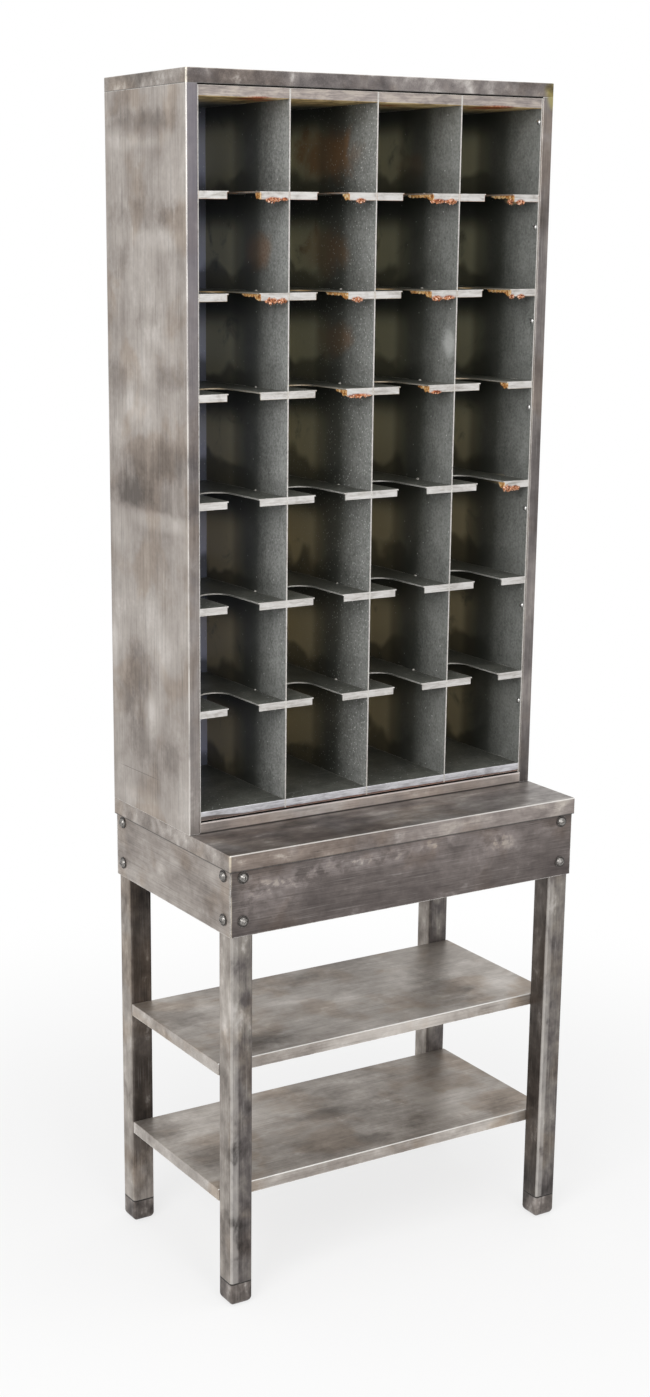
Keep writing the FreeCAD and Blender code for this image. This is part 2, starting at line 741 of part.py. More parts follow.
def make_cabinet_back():
    """The outer back panel, against the inside of the rear flanges and of the cap's lip."""
    made = body("cabinet_back")
    panel = sketch(made, "XZ_Plane", "-(Places.back_inside + Sizes.back_sheet)")
    half = "(Places.half_width - Sizes.shell_sheet)"
    rectangle(panel, "-" + half, half, "Places.base_top",
              "Places.cap_bottom + Sizes.back_rise")
    pad(made, panel, "Sizes.back_sheet")
    holes = sketch(made, "XZ_Plane", "-Places.back_inside")
    for sign in (-1, 1):
        for height in back_rivet_heights():
            circle(holes, signed(sign, "Places.half_width - Sizes.rear_flange / 2"), height,
                   "Sizes.rivet_size + 2 * Sizes.rivet_gap")
    pocket(made, holes, "4 * Sizes.back_sheet", middle=True)


def make_cabinet_cap():
    edges = ("Places.half_width", "Places.front", "Places.half_depth")
    cap = tray("cabinet_cap", *edges, "Places.cap_top", "Sizes.cap_lip", "Sizes.shell_sheet")
    round_tray(cap, *edges, "Places.cap_top")


def make_cabinet_base():
    """The base pan: a floor plate around the stile returns, folded up to the front rail."""
    made = body("cabinet_base")
    inner = "(Places.half_width - Sizes.shell_sheet)"
    behind_return = "(Places.front + Sizes.stile_return)"
    rear = "(Places.half_depth - Sizes.shell_sheet)"
    floor_points = [
        ("-Places.opening_side", "Places.front"), ("Places.opening_side", "Places.front"),
        ("Places.opening_side", behind_return), (inner, behind_return), (inner, rear),
        ("-" + inner, rear), ("-" + inner, behind_return), ("-Places.opening_side", behind_return),
    ]
    floor = sketch(made, "XY_Plane", "Sizes.table_height")
    outline(floor, floor_points)
    pad(made, floor, "Sizes.shell_sheet")
    rail = sketch(made, "XY_Plane", "Sizes.table_height")
    rectangle(rail, "-Places.opening_side", "Places.opening_side", "Places.front",
              "Places.front + Sizes.shell_sheet")
    pad(made, rail, "Sizes.rail_height")
    drill_bolts(made, "Places.base_top", "Sizes.shell_sheet")


# ------------------------------------------------------------------------------ the insert

def tab_lines():
    """The two tabs at each end of a plate, as (front, rear) pairs of formulas."""
    near_line = "Places.insert_front + Sizes.tab_inset"
    far_line = "Places.insert_rear - Sizes.tab_inset - Sizes.tab_width"
    return [(line, line + " + Sizes.tab_width") for line in (near_line, far_line)]


def make_insert_side(sign):
    """A side wall with a slot for each plate tab and a hole for each rivet."""
    made = body("insert_%s_side" % side_name(sign))
    wall = sketch(made, "YZ_Plane", signed(sign, "Places.wall_inside"))
    rectangle(wall, "Places.insert_front", "Places.insert_rear", "Places.base_top",
              "Places.last_level")
    pad(made, wall, "Sizes.insert_sheet", down=sign < 0)
    openings = sketch(made, "YZ_Plane", signed(sign, "Places.wall_inside"))
    for index in range(rows):
        for near_line, far_line in tab_lines():
            rectangle(openings, near_line + " - Sizes.tab_gap", far_line + " + Sizes.tab_gap",
                      level(index) + " - Sizes.insert_sheet - Sizes.tab_gap",
                      level(index) + " + Sizes.tab_gap")
    for height in side_rivet_heights():
        circle(openings, "Places.insert_front + Sizes.side_rivet_inset", height,
               "Sizes.rivet_size + 2 * Sizes.rivet_gap")
    for near_line, far_line in tab_lines():
        rectangle(openings, near_line + " - Sizes.tab_gap", far_line + " + Sizes.tab_gap",
                  "Places.crown_level - Sizes.insert_sheet - Sizes.tab_gap",
                  "Places.crown_level + Sizes.tab_gap")
    pocket(made, openings, "3 * Sizes.insert_sheet", middle=True)


def make_insert_back():
    made = body("insert_back")
    sheet = sketch(made, "XZ_Plane", "-Places.insert_rear")
    rectangle(sheet, "-Places.insert_side", "Places.insert_side", "Places.base_top",
              "Places.last_level")
    pad(made, sheet, "Sizes.insert_back_sheet", down=True)


def make_plate(label, height, lip, notched=False, upturned=False):
    """A level plate of the insert, with its front lip, its tabs and a halving slot for each
    divider. A shelf has a finger notch in the middle of each column, and its lip stops short of
    the notch. The crown plate's lip is turned up towards the cap."""
    made = body(label)
    sheet = "Sizes.insert_sheet"
    first, mouth = column_middle(0), "Places.insert_front"
    deck = sketch(made, "XY_Plane")
    rectangle(deck, "-Places.wall_inside", "Places.wall_inside", mouth, "Places.insert_rear")
    pad(made, deck, sheet, down=True)
    tabs = sketch(made, "XY_Plane")
    for sign in (-1, 1):
        for near_line, far_line in tab_lines():
            rectangle(tabs, signed(sign, "Places.wall_inside"), signed(sign, "Places.insert_side"),
                      near_line, far_line)
    pad(made, tabs, sheet, down=True)
    ridge = sketch(made, "XY_Plane", "0" if upturned else "-" + sheet)
    rectangle(ridge, "-Places.wall_inside", "Places.wall_inside", mouth, mouth + " + " + sheet)
    pad(made, ridge, lip + " - " + sheet, down=not upturned)
    if notched:
        half = "(Sizes.notch_width / 2)"
        gap = sketch(made, "XY_Plane", "-" + sheet)
        rectangle(gap, first + " - " + half + " - Sizes.lip_relief",
                  first + " + " + half + " + Sizes.lip_relief", mouth, mouth + " + " + sheet)
        gap_pocket = pocket(made, gap, lip)
        row_pattern(made, gap_pocket, gap, "Places.column_pitch", "Sizes.columns")
        opening = sketch(made, "XY_Plane")
        finger_outline(opening, first, half, mouth, "Places.insert_front + Sizes.notch_depth")
        opening_pocket = pocket(made, opening, sheet)
        row_pattern(made, opening_pocket, opening, "Places.column_pitch", "Sizes.columns")
    round_lip_fold(made, "-" + sheet if upturned else "0")
    slot = sketch(made, "XY_Plane", lip + " - " + sheet if upturned else "0")
    slot_half = "(Sizes.insert_sheet / 2 + Sizes.halving_gap)"
    rectangle(slot, divider_across(1) + " - " + slot_half, divider_across(1) + " + " + slot_half,
              mouth, "Places.insert_middle + Sizes.halving_gap")
    slot_pocket = pocket(made, slot, lip)
    row_pattern(made, slot_pocket, slot, "Places.column_pitch", "Sizes.columns - 1")
    place(made, up=height)


def round_lip_fold(made, fold_height):
    """Rounds the outer edge of the fold between a plate's deck and its lip."""
    front = value("Places.insert_front")
    names = []
    for name in rim_edges(made, value(fold_height)):
        middle = made.Shape.getElement(name).BoundBox.Center
        if near(middle.y, front):
            names.append(name)
    dress(made, "Fillet", names, "Radius", "Sizes.fold_round")


def make_divider(index):
    """A full-height divider, halved from the rear over the shelves and seated on the plates."""
    made = body("divider_%d" % index)
    sheet, gap = "Sizes.insert_sheet", "Sizes.halving_gap"
    front, rear = "Places.insert_front", "Places.insert_rear"
    step = "Places.insert_middle"
    blank = sketch(made, "YZ_Plane")
    outline(blank, [
        (front, "Places.first_level - Sizes.sill_lip"), (step, "Places.first_level - Sizes.sill_lip"),
        (step, "Places.first_level"), (rear, "Places.first_level"),
        (rear, "Places.last_level - Sizes.crown_lip"), (step, "Places.last_level - Sizes.crown_lip"),
        (step, "Places.last_level"), (front, "Places.last_level"),
    ])
    pad(made, blank, sheet, middle=True)
    slots = sketch(made, "YZ_Plane")
    for shelf in range(1, rows):
        rectangle(slots, step, rear, level(shelf) + " - " + sheet + " - " + gap,
                  level(shelf) + " + " + gap)
    pocket(made, slots, "3 * " + sheet, middle=True)
    place(made, across=divider_across(index))


# ------------------------------------------------------------------------------- assembly

make_table_top()
make_aprons()
for across_sign in (-1, 1):
    for along_sign in (-1, 1):
        make_leg(across_sign, along_sign)
        make_foot(across_sign, along_sign)
make_pan("lower")
make_pan("upper")
make_apron_screws()
make_pan_rivets()
for sign in (-1, 1):
    make_cabinet_side(sign)
    make_insert_side(sign)
make_cabinet_back()
make_cabinet_cap()
make_cabinet_base()
make_cabinet_bolts()
make_back_rivets()
make_insert_back()
make_plate("insert_bottom", level(0), "Sizes.sill_lip")
for index in range(1, rows):
    make_plate("pigeonhole_shelf_%d" % index, level(index), "Sizes.shelf_lip", notched=True)
make_plate("insert_top", "Places.crown_level", "Sizes.crown_lip", upturned=True)
for index in range(1, columns):
    make_divider(index)
make_insert_rivets()

doc.recompute()
for item in doc.Objects:
    if "Invalid" in item.State or "Error" in item.State:
        raise RuntimeError(item.Label + ": " + ", ".join(item.State))
for part in parts:
    if part.Shape.isNull() or not part.Shape.isValid():
        raise RuntimeError(part.Label + ": the shape is not valid")

os.makedirs("parts", exist_ok=True)
for part in parts:
    part.Shape.exportStep("parts/" + part.Label + ".step")
    bounds = part.Shape.BoundBox
    print("%-24s %3d solids  x %8.1f %8.1f  y %8.1f %8.1f  z %8.1f %8.1f" % (
        part.Label, len(part.Shape.Solids), bounds.XMin, bounds.XMax, bounds.YMin, bounds.YMax,
        bounds.ZMin, bounds.ZMax))
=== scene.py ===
import math

import bmesh
import bpy
import numpy as np
from mathutils import Matrix, Vector


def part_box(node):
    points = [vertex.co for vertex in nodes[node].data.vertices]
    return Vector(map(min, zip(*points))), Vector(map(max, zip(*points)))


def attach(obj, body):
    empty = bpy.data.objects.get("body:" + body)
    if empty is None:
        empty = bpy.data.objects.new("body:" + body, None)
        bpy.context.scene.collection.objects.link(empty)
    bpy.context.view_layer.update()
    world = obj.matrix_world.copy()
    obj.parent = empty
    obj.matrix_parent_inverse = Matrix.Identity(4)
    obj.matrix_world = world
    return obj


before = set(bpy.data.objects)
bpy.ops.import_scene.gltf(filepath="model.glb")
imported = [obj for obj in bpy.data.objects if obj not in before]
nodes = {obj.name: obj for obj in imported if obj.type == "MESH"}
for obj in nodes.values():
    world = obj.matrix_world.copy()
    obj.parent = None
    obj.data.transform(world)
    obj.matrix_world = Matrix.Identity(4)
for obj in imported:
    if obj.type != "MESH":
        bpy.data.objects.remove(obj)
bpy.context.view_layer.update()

print("frame loaded:", len(nodes), "nodes")

shot = {
    "place": (-1.867, -2.8558, 1.7324),
    "yaw": 30.24,  # degrees to the right of straight at the front
    "pitch": 14.35,  # degrees downwards
    "roll": 0.09,
    "focal": 2051.9,  # in pixels of the full frame
    "axisPixel": (243.4, 754.4),
    "frameSize": (650, 1397),
    "sensor": 36,
}


def addObject(name, data):
    made = bpy.data.objects.new(name, data)
    bpy.context.scene.collection.objects.link(made)
    return made


def makeCamera():
    yaw, pitch, roll = (math.radians(shot[key]) for key in ("yaw", "pitch", "roll"))
    ahead = Vector((math.sin(yaw) * math.cos(pitch), math.cos(yaw) * math.cos(pitch), -math.sin(pitch)))
    level = Vector((math.cos(yaw), -math.sin(yaw), 0))
    upward = level.cross(ahead)
    right = level * math.cos(roll) + upward * math.sin(roll)
    upward = right.cross(ahead)
    wide, tall = shot["frameSize"]
    data = bpy.data.cameras.new("shotCamera")
    data.sensor_width = shot["sensor"]
    data.lens = shot["focal"] / tall * shot["sensor"]
    data.shift_x = (wide / 2 - shot["axisPixel"][0]) / tall
    data.shift_y = (shot["axisPixel"][1] - tall / 2) / tall
    camera = addObject("shotCamera", data)
    turn = Matrix((right, upward, -ahead)).transposed().to_4x4()
    camera.matrix_world = Matrix.Translation(shot["place"]) @ turn
    bpy.context.scene.camera = camera


makeCamera()
print("camera made")

# places on the furniture, read from the frame
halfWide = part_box("table_top")[1].x
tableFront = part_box("table_top")[0].y
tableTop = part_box("table_top")[1].z
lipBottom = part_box("table_top")[0].z
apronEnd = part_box("front_apron")[0].x
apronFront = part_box("front_apron")[0].y
legEdges = [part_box("leg_front_left")[0].x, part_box("leg_front_right")[0].x]
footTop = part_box("leg_front_left")[0].z
panTops = {name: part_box(name)[1].z for name in ("lower_shelf", "upper_shelf")}
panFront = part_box("lower_shelf")[0].y
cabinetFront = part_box("cabinet_cap")[0].y
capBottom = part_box("cabinet_cap")[0].z
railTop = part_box("cabinet_base")[1].z
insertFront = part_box("divider_1")[0].y
decks = ["insert_bottom"] + ["pigeonhole_shelf_%d" % number for number in range(1, 7)] + ["insert_top"]
levels = [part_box(name)[1].z for name in decks]
dividers = [sum(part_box("divider_%d" % number)[side].x for side in (0, 1)) / 2 for number in (1, 2, 3)]
pitch = dividers[2] - dividers[1]
columns = [dividers[0] + pitch * (number - 0.5) for number in range(4)]

# sizes in metres that no box of the frame shows
sheet = 0.002  # gauge of the insert
lip = 0.012  # height of the shelves' lips
notchHalf = 0.0275  # half the width of a finger notch
stileWide = 0.0216  # from the cabinet's side to the stile's inner edge
crownDrop = 0.016  # from the crown lip's top to the plate's underside


def tone(code):
    # six hex digits as the linear numbers that a shader takes
    parts = [int(code[i:i + 2], 16) / 255 for i in (0, 2, 4)]
    return tuple(p / 12.92 if p < 0.04045 else ((p + 0.055) / 1.055) ** 2.4 for p in parts) + (1,)


class Wire:
    # a shader socket: sums written with it become Math nodes
    def __init__(self, graph, socket):
        self.graph = graph
        self.socket = socket

    def math(self, operation, first, second=0):
        return self.graph.node("ShaderNodeMath", {"operation": operation}, {0: first, 1: second})

    def __add__(self, other):
        return self.math("ADD", self, other)

    __radd__ = __add__

    def __sub__(self, other):
        return self.math("SUBTRACT", self, other)

    def __rsub__(self, other):
        return self.math("SUBTRACT", other, self)

    def __mul__(self, other):
        return self.math("MULTIPLY", self, other)

    __rmul__ = __mul__

    def __gt__(self, other):
        return self.math("GREATER_THAN", self, other)

    def __lt__(self, other):
        return self.math("LESS_THAN", self, other)

    def most(self, other):
        return self.math("MAXIMUM", self, other)

    def away(self, value):
        return self.math("ABSOLUTE", self - value)

    def part(self):
        return self.math("FRACT", self)


class Graph:
    # a node tree, and how nodes are made in it
    def __init__(self, tree):
        self.tree = tree
        self.tree.nodes.clear()

    def node(self, kind, settings, sockets, out=0):
        made = self.tree.nodes.new(kind)
        for key, value in settings.items():
            if key == "stops":
                self.setStops(made.color_ramp, value)
            else:
                setattr(made, key, value)
        for key, value in sockets.items():
            if isinstance(value, Wire):
                self.tree.links.new(value.socket, made.inputs[key])
            else:
                made.inputs[key].default_value = value
        return Wire(self, made.outputs[out]) if made.outputs else None

    def setStops(self, ramp, stops):
        while len(ramp.elements) < len(stops):
            ramp.elements.new(1)
        for element, (position, colour) in zip(ramp.elements, stops):
            element.position = position
            element.color = colour


# how the shared patterns fade in and out
patternLook = {
    "facing": (0.35, 0.75),  # share of the normal along the axis
    "edge": (0.01, 0.12),  # how far the bevelled normal leans
    "edgeSamples": 6,
    "patch": (0.3, 1.1),  # distance from the centre in shares of the reach
    "ragged": 1.6,  # how far a noise moves its outline, in the same
}


class Finish(Graph):
    # one material, and the patterns that the finishes share
    def __init__(self, name):
        self.material = bpy.data.materials.new(name)
        self.material.use_nodes = True
        super().__init__(self.material.node_tree)
        self.place = self.node("ShaderNodeTexCoord", {}, {}, "Object")
        self.face = self.node("ShaderNodeNewGeometry", {}, {}, "True Normal")
        self.x, self.y, self.z = (self.axis(self.place, name) for name in "XYZ")
        self.colour = None

    def vector(self, operation, first, second=(0, 0, 0), out="Vector"):
        return self.node("ShaderNodeVectorMath", {"operation": operation}, {0: first, 1: second}, out)

    def axis(self, vector, name):
        return self.node("ShaderNodeSeparateXYZ", {}, {0: vector}, name)

    def facing(self, name, sign):
        # 1 on the faces that look along that axis
        return self.smooth(self.axis(self.face, name) * sign, *patternLook["facing"])

    def scaled(self, factors, shift=(0, 0, 0)):
        # the place on the object, moved by metres, then multiplied by one factor or by one for each axis
        factors = factors if isinstance(factors, (tuple, list)) else (factors,) * 3
        return self.vector("MULTIPLY", self.vector("ADD", self.place, shift), factors)

    def noise(self, factors, shift=(0, 0, 0), detail=3, rough=0.5, warp=0):
        sockets = {"Vector": self.scaled(factors, shift), "Scale": 1, "Detail": detail, "Roughness": rough}
        sockets["Distortion"] = warp
        return self.node("ShaderNodeTexNoise", {"noise_dimensions": "3D"}, sockets, 0)

    def smooth(self, value, low, high):
        sockets = {"Value": value, "From Min": low, "From Max": high}
        return self.node("ShaderNodeMapRange", {"interpolation_type": "SMOOTHSTEP"}, sockets)

    def past(self, axis, value, span):
        # 0 before a value and 1 after it, rising over a span measured from it
        return self.smooth(axis, value + span[0], value + span[1])

    def near(self, axis, value, width):
        # 1 within half a width of a value, 0 beyond the width
        return 1 - self.smooth(axis.away(value), width * 0.5, width)

    def blend(self, factor, first, second, how="MIX"):
        first, second = (tone(item) if isinstance(item, str) else item for item in (first, second))
        settings = {"data_type": "RGBA", "blend_type": how}
        return self.node("ShaderNodeMix", settings, {0: factor, 6: first, 7: second}, 2)

    def lay(self, factor, other, how="MIX"):
        # another colour over the finish's own
        self.colour = self.blend(factor, self.colour, other, how)

    def palette(self, value, codes, low=0, high=1):
        # colours spread evenly between two values
        step = (high - low) / (len(codes) - 1)
        stops = [(low + step * index, tone(code)) for index, code in enumerate(codes)]
        return self.node("ShaderNodeValToRGB", {"stops": stops}, {0: value})

    def spots(self, density, size, share, shift=(0, 0, 0)):
        # round spots: cells per metre, size in a cell, and the share of cells that hold one
        cell = {"Vector": self.scaled(density, shift), "Scale": 1}
        near, lot = (self.node("ShaderNodeTexVoronoi", {"feature": "F1"}, cell, out)
                     for out in ("Distance", "Color"))
        drawn = self.smooth(self.axis(lot, "X"), 1 - share, 1 - share * 0.6)
        return (1 - self.smooth(near, size * 0.5, size)) * drawn

    def mark(self, centre, reach, ragged):
        # an uneven patch that fades out at its reach along X, Y and Z
        away = self.vector("MULTIPLY", self.vector("SUBTRACT", self.place, centre), [1 / r for r in reach])
        length = self.vector("LENGTH", away, out="Value")
        return 1 - self.smooth(length + (ragged - 0.5) * patternLook["ragged"], *patternLook["patch"])

    def marks(self, rows, ragged):
        # the sum of patches, each (centre, reach, strength)
        return sum(self.mark(centre, reach, ragged) * strength for centre, reach, strength in rows)

    def edges(self, radius):
        # 1 along sharp edges, where a bevelled normal leaves the face's own
        soft = self.node("ShaderNodeBevel", {"samples": patternLook["edgeSamples"]}, {"Radius": radius})
        return self.smooth(1 - self.vector("DOT_PRODUCT", soft, self.face, "Value"), *patternLook["edge"])

    def bump(self, height, distance, strength, under=None):
        sockets = {"Height": height, "Distance": distance, "Strength": strength}
        if under is not None:
            sockets["Normal"] = under
        return self.node("ShaderNodeBump", {}, sockets)

    def end(self, rough, normal, metallic=0, targets=()):
        # the shader, and the material set on the target nodes
        sockets = {"Base Color": self.colour, "Metallic": metallic, "Roughness": rough, "Normal": normal}
        shader = self.node("ShaderNodeBsdfPrincipled", {}, sockets)
        self.node("ShaderNodeOutputMaterial", {}, {"Surface": shader})
        for name in targets:
            for slot in nodes[name].material_slots:
                slot.material = self.material
        return self.material


# sheet steel, rubbed bright at the folds; each palette runs from dark to pale
# the palettes given to a piece's different sides are lit and shaded copies of its steel, painted for how
# light falls on each side
steelLook = {
    "side": ("625a54", "8f867f", "b0a8a1", "d6d0ca"),
    "stile": ("45403f", "6b6563", "8d8682", "c4bdb8"),
    "cap": ("3f3a39", "615b5a", "857e7b", "b9b3ae"),
    "capSide": ("4a443f", "7c746d", "a29a93", "cfc9c3"),
    "rail": ("6a625f", "968e89", "b9ada6", "dcd6d1"),
    "ledge": ("3f3a38", "6f6865", "97918c", "cbc5c0"),
    "front": ("47403e", "665e5b", "857c79", "c2b8ac"),
    "lipFront": ("443d3b", "746b67", "958c87", "cbc2b7"),
    "pan": ("564e47", "8b837b", "aea69e", "d2cbc4"),
    "panLip": ("5d5753", "989089", "c2bbb4", "ebe7e2"),
    "legSide": ("5c544d", "8a827b", "aca49c", "d0c9c2"),
    "legFront": ("35302e", "605a58", "868079", "bfb9b4"),
    # painted shade: the palette of leg faces that stand in shade
    "legInShade": ("2a2522", "463f3a", "635b55", "8f8780"),
    "foot": ("2f2a28", "57504c", "79716c", "aca49e"),
    "bright": "ece9e4",
    # for dark pits, dark seams and painted contact shadows
    "dirtAndShadow": "2a2624",
    "brown": "d9c3a8",
    "metallic": 0.6,
    "roughness": (0.34, 0.16),  # of the palest part, and what dark adds
    "brush": (520, 12),  # lines per metre across and along
    "streaks": (34, 1.8),  # the same
    "mottles": 95,  # per metre
    "browns": 7.5,  # per metre
    "weights": (1.7, 1.5, 0.3),  # of clouds, small clouds and specks
    "pits": (260, 0.15, 0.1),  # cells per metre, size in a cell, share of cells
    "dents": (3.2, 0.005, 0.35),  # waves per metre, depth in metres, strength
    "grain": (0.0002, 0.35),  # depth in metres, strength
    "edgeWidth": 0.002,
}

# what a steel piece has unless its own settings say otherwise
usualSteel = {
    "palette": "front",
    "along": "x",  # axis of the brushing, or none
    "shift": (0, 0, 0),  # of the noise, in metres
    "level": 0.5,  # share of pale steel
    "cloud": 0.9,  # strength of the broad clouds
    "clouds": 6,  # and how many per metre
    "curl": 0.6,  # strength of the small clouds
    "curls": 30,  # and how many per metre, across the brushing
    "streak": 0.35,  # strength of the streaks
    "brown": 0.4,  # strength of the brown patches
    "worn": 0.75,  # strength at the folds
    "marks": (),
    "faces": (),  # (axis, sign, palette) of sides with their own, a lighter or darker copy painted for the light on that side
    "shade": None,
    "colour": None,
}


def steelNoises(made, piece):
    # broad clouds, streaks, small clouds, specks, and the lines of the brushing
    look = steelLook
    along, shift = piece["along"], piece["shift"]
    brush, streaks = ([length if axis == along else across for axis in "xyz"]
                      for across, length in (look["brush"], look["streaks"]))
    curls = [piece["curls"] * (0.5 if axis == along else 1) for axis in "xyz"]
    patch = made.noise(piece["clouds"], shift, 5, 0.55, 0.25)
    streak = made.noise(streaks, shift, 4, 0.6, 0.2)
    curl = made.noise(curls, shift, 4, 0.58, 0.2)
    mottle = made.noise(look["mottles"], shift, 5, 0.65, 0.2)
    hair = made.noise(brush, shift, 2, 0.65)
    return patch, streak, curl, mottle, hair


def steel(name, *targets, **own):
    # a steel finish, set on the target nodes
    look = steelLook
    piece = {**usualSteel, **own}
    shift = piece["shift"]
    made = Finish(name)
    patch, streak, curl, mottle, hair = steelNoises(made, piece)
    cloudWeight, curlWeight, mottleWeight = look["weights"]
    shade = (patch - 0.5) * (cloudWeight * piece["cloud"]) + (curl - 0.5) * (curlWeight * piece["curl"])
    shade = shade + piece["level"] + (streak - 0.5) * piece["streak"] + (mottle - 0.5) * mottleWeight
    if piece["marks"]:
        shade = shade + made.marks(piece["marks"], curl * 0.5 + patch * 0.25 + mottle * 0.25)
    if piece["shade"]:
        shade = shade + piece["shade"](made, curl, streak)
    made.colour = made.palette(shade, look[piece["palette"]])
    # painted light and shade: each listed side takes its lit or shaded copy of the palette
    for axis, sign, other in piece["faces"]:
        made.lay(made.facing(axis, sign), made.palette(shade, look[other]))
    elsewhere = (shift[0] + 5, shift[1], shift[2])
    brown = made.smooth(made.noise(look["browns"], elsewhere, 4, 0.55, 0.3), 0.48, 0.62)
    made.lay(brown * piece["brown"], look["brown"], "MULTIPLY")
    grain = made.palette(hair, ("bababa", "ffffff", "ffffff"), 0.2, 0.8)
    made.lay(0.8, grain, "MULTIPLY")
    made.lay(made.smooth(hair, 0.58, 0.8) * 0.14, look["bright"])
    scuffs = made.smooth(curl, 0.58, 0.7) * made.smooth(mottle, 0.4, 0.6)
    made.lay(scuffs * (0.2 * piece["curl"]), look["bright"])
    pits = made.spots(*look["pits"], shift)
    made.lay(pits * 0.45, look["dirtAndShadow"])
    rub = made.edges(look["edgeWidth"]) * made.smooth(mottle + streak * 0.5, 0.5, 0.8) * piece["worn"]
    made.lay(rub, look["bright"])
    if piece["colour"]:
        piece["colour"](made, curl, streak)
    palest, added = look["roughness"]
    rough = palest + added * (1 - shade) + (hair - 0.5) * 0.12 + pits * 0.2
    density, *dents = look["dents"]
    waves = made.bump(made.noise(density, shift, 1), *dents)
    normal = made.bump(hair + mottle * 0.5, *look["grain"], waves)
    made.end(rough, normal, look["metallic"], targets)


def sheetMarks(axis, place, rows, through=0.1):
    # patches on a sheet across axis 0, 1 or 2: rows of a centre, a reach along the others and a strength
    marks = []
    for first, second, firstReach, secondReach, strength in rows:
        centre, reach = [first, second], [firstReach, secondReach]
        centre.insert(axis, place)
        reach.insert(axis, through)
        marks.append((centre, reach, strength))
    return marks


# on the cabinet's left side: darker bands and paler patches
sideMarks = sheetMarks(0, -halfWide, [
    (0.075, 1.891, 0.13, 0.026, -0.26), (0.16, 1.925, 0.05, 0.03, -0.16), (0.07, 1.755, 0.13, 0.03, -0.22),
    (-0.03, 1.748, 0.06, 0.03, -0.18), (0.159, 1.684, 0.05, 0.035, -0.18), (0.058, 1.597, 0.06, 0.025, -0.16),
    (0.16, 1.498, 0.05, 0.035, -0.2), (-0.02, 1.508, 0.06, 0.025, -0.2), (0.04, 1.38, 0.16, 0.045, -0.2),
    (0.12, 1.32, 0.09, 0.03, -0.2), (0.092, 1.03, 0.06, 0.06, -0.26), (0.153, 0.973, 0.04, 0.04, -0.2),
    (-0.015, 0.897, 0.04, 0.04, -0.26), (0.09, 0.911, 0.06, 0.05, -0.2), (0.053, 1.869, 0.08, 0.02, 0.16),
    (0.141, 1.869, 0.06, 0.025, 0.16), (-0.002, 1.718, 0.07, 0.025, 0.16), (0.1, 1.458, 0.07, 0.03, 0.14),
    (0.161, 1.25, 0.05, 0.04, 0.2), (0.021, 1.28, 0.12, 0.018, 0.2), (0.056, 0.949, 0.03, 0.06, 0.26),
    (0.192, 1.053, 0.02, 0.06, 0.2), (0.093, 0.801, 0.08, 0.03, 0.22), (0.009, 1.069, 0.05, 0.05, 0.16),
])
# on the front apron: paler clouds, mostly along its upper left
apronMarks = sheetMarks(1, apronFront, [
    (-0.285, 0.722, 0.06, 0.034, 0.34), (-0.215, 0.728, 0.07, 0.028, 0.36), (-0.14, 0.736, 0.08, 0.024, 0.34),
    (-0.31, 0.69, 0.03, 0.04, 0.26), (-0.04, 0.738, 0.09, 0.022, 0.32), (0.06, 0.744, 0.08, 0.018, 0.28),
    (0.19, 0.73, 0.06, 0.032, 0.36), (0.14, 0.705, 0.028, 0.044, 0.26), (-0.24, 0.69, 0.06, 0.022, 0.18),
    (0.29, 0.735, 0.05, 0.02, 0.16),
])
# on the two shelf pans: darker and paler places
panMarks = {
    "upper_shelf": sheetMarks(2, panTops["upper_shelf"], [
        (-0.3, 0.06, 0.06, 0.07, -0.22), (-0.23, -0.1, 0.07, 0.04, -0.24),
        (-0.09, 0.03, 0.08, 0.03, 0.24), (-0.06, 0.11, 0.1, 0.025, -0.12),
        (0.026, -0.135, 0.12, 0.04, 0.16), (0.18, -0.06, 0.06, 0.12, -0.26),
        (0.285, -0.09, 0.045, 0.06, 0.22), (0.24, 0.12, 0.06, 0.05, 0.16),
    ]),
    "lower_shelf": sheetMarks(2, panTops["lower_shelf"], [
        (-0.31, 0.11, 0.05, 0.08, -0.26), (-0.28, -0.04, 0.05, 0.08, -0.2),
        (-0.11, 0.02, 0.09, 0.08, 0.2), (-0.02, 0.01, 0.06, 0.03, -0.16),
        (0.1, -0.04, 0.05, 0.1, -0.18), (0.2, -0.03, 0.06, 0.09, 0.2),
        (-0.06, -0.12, 0.14, 0.03, -0.14), (0.27, -0.12, 0.05, 0.04, -0.2),
    ]),
}
# dark smudges down the front left leg: height, reach and strength
legMarks = [((-0.311, -0.195, height), (0.014, 0.02, tall), strength) for height, tall, strength in (
    (0.105, 0.018, -0.2), (0.147, 0.014, -0.16), (0.178, 0.014, -0.2), (0.275, 0.026, -0.16),
    (0.35, 0.02, -0.18), (0.465, 0.03, -0.16), (0.54, 0.026, -0.22), (0.6, 0.024, -0.12))]

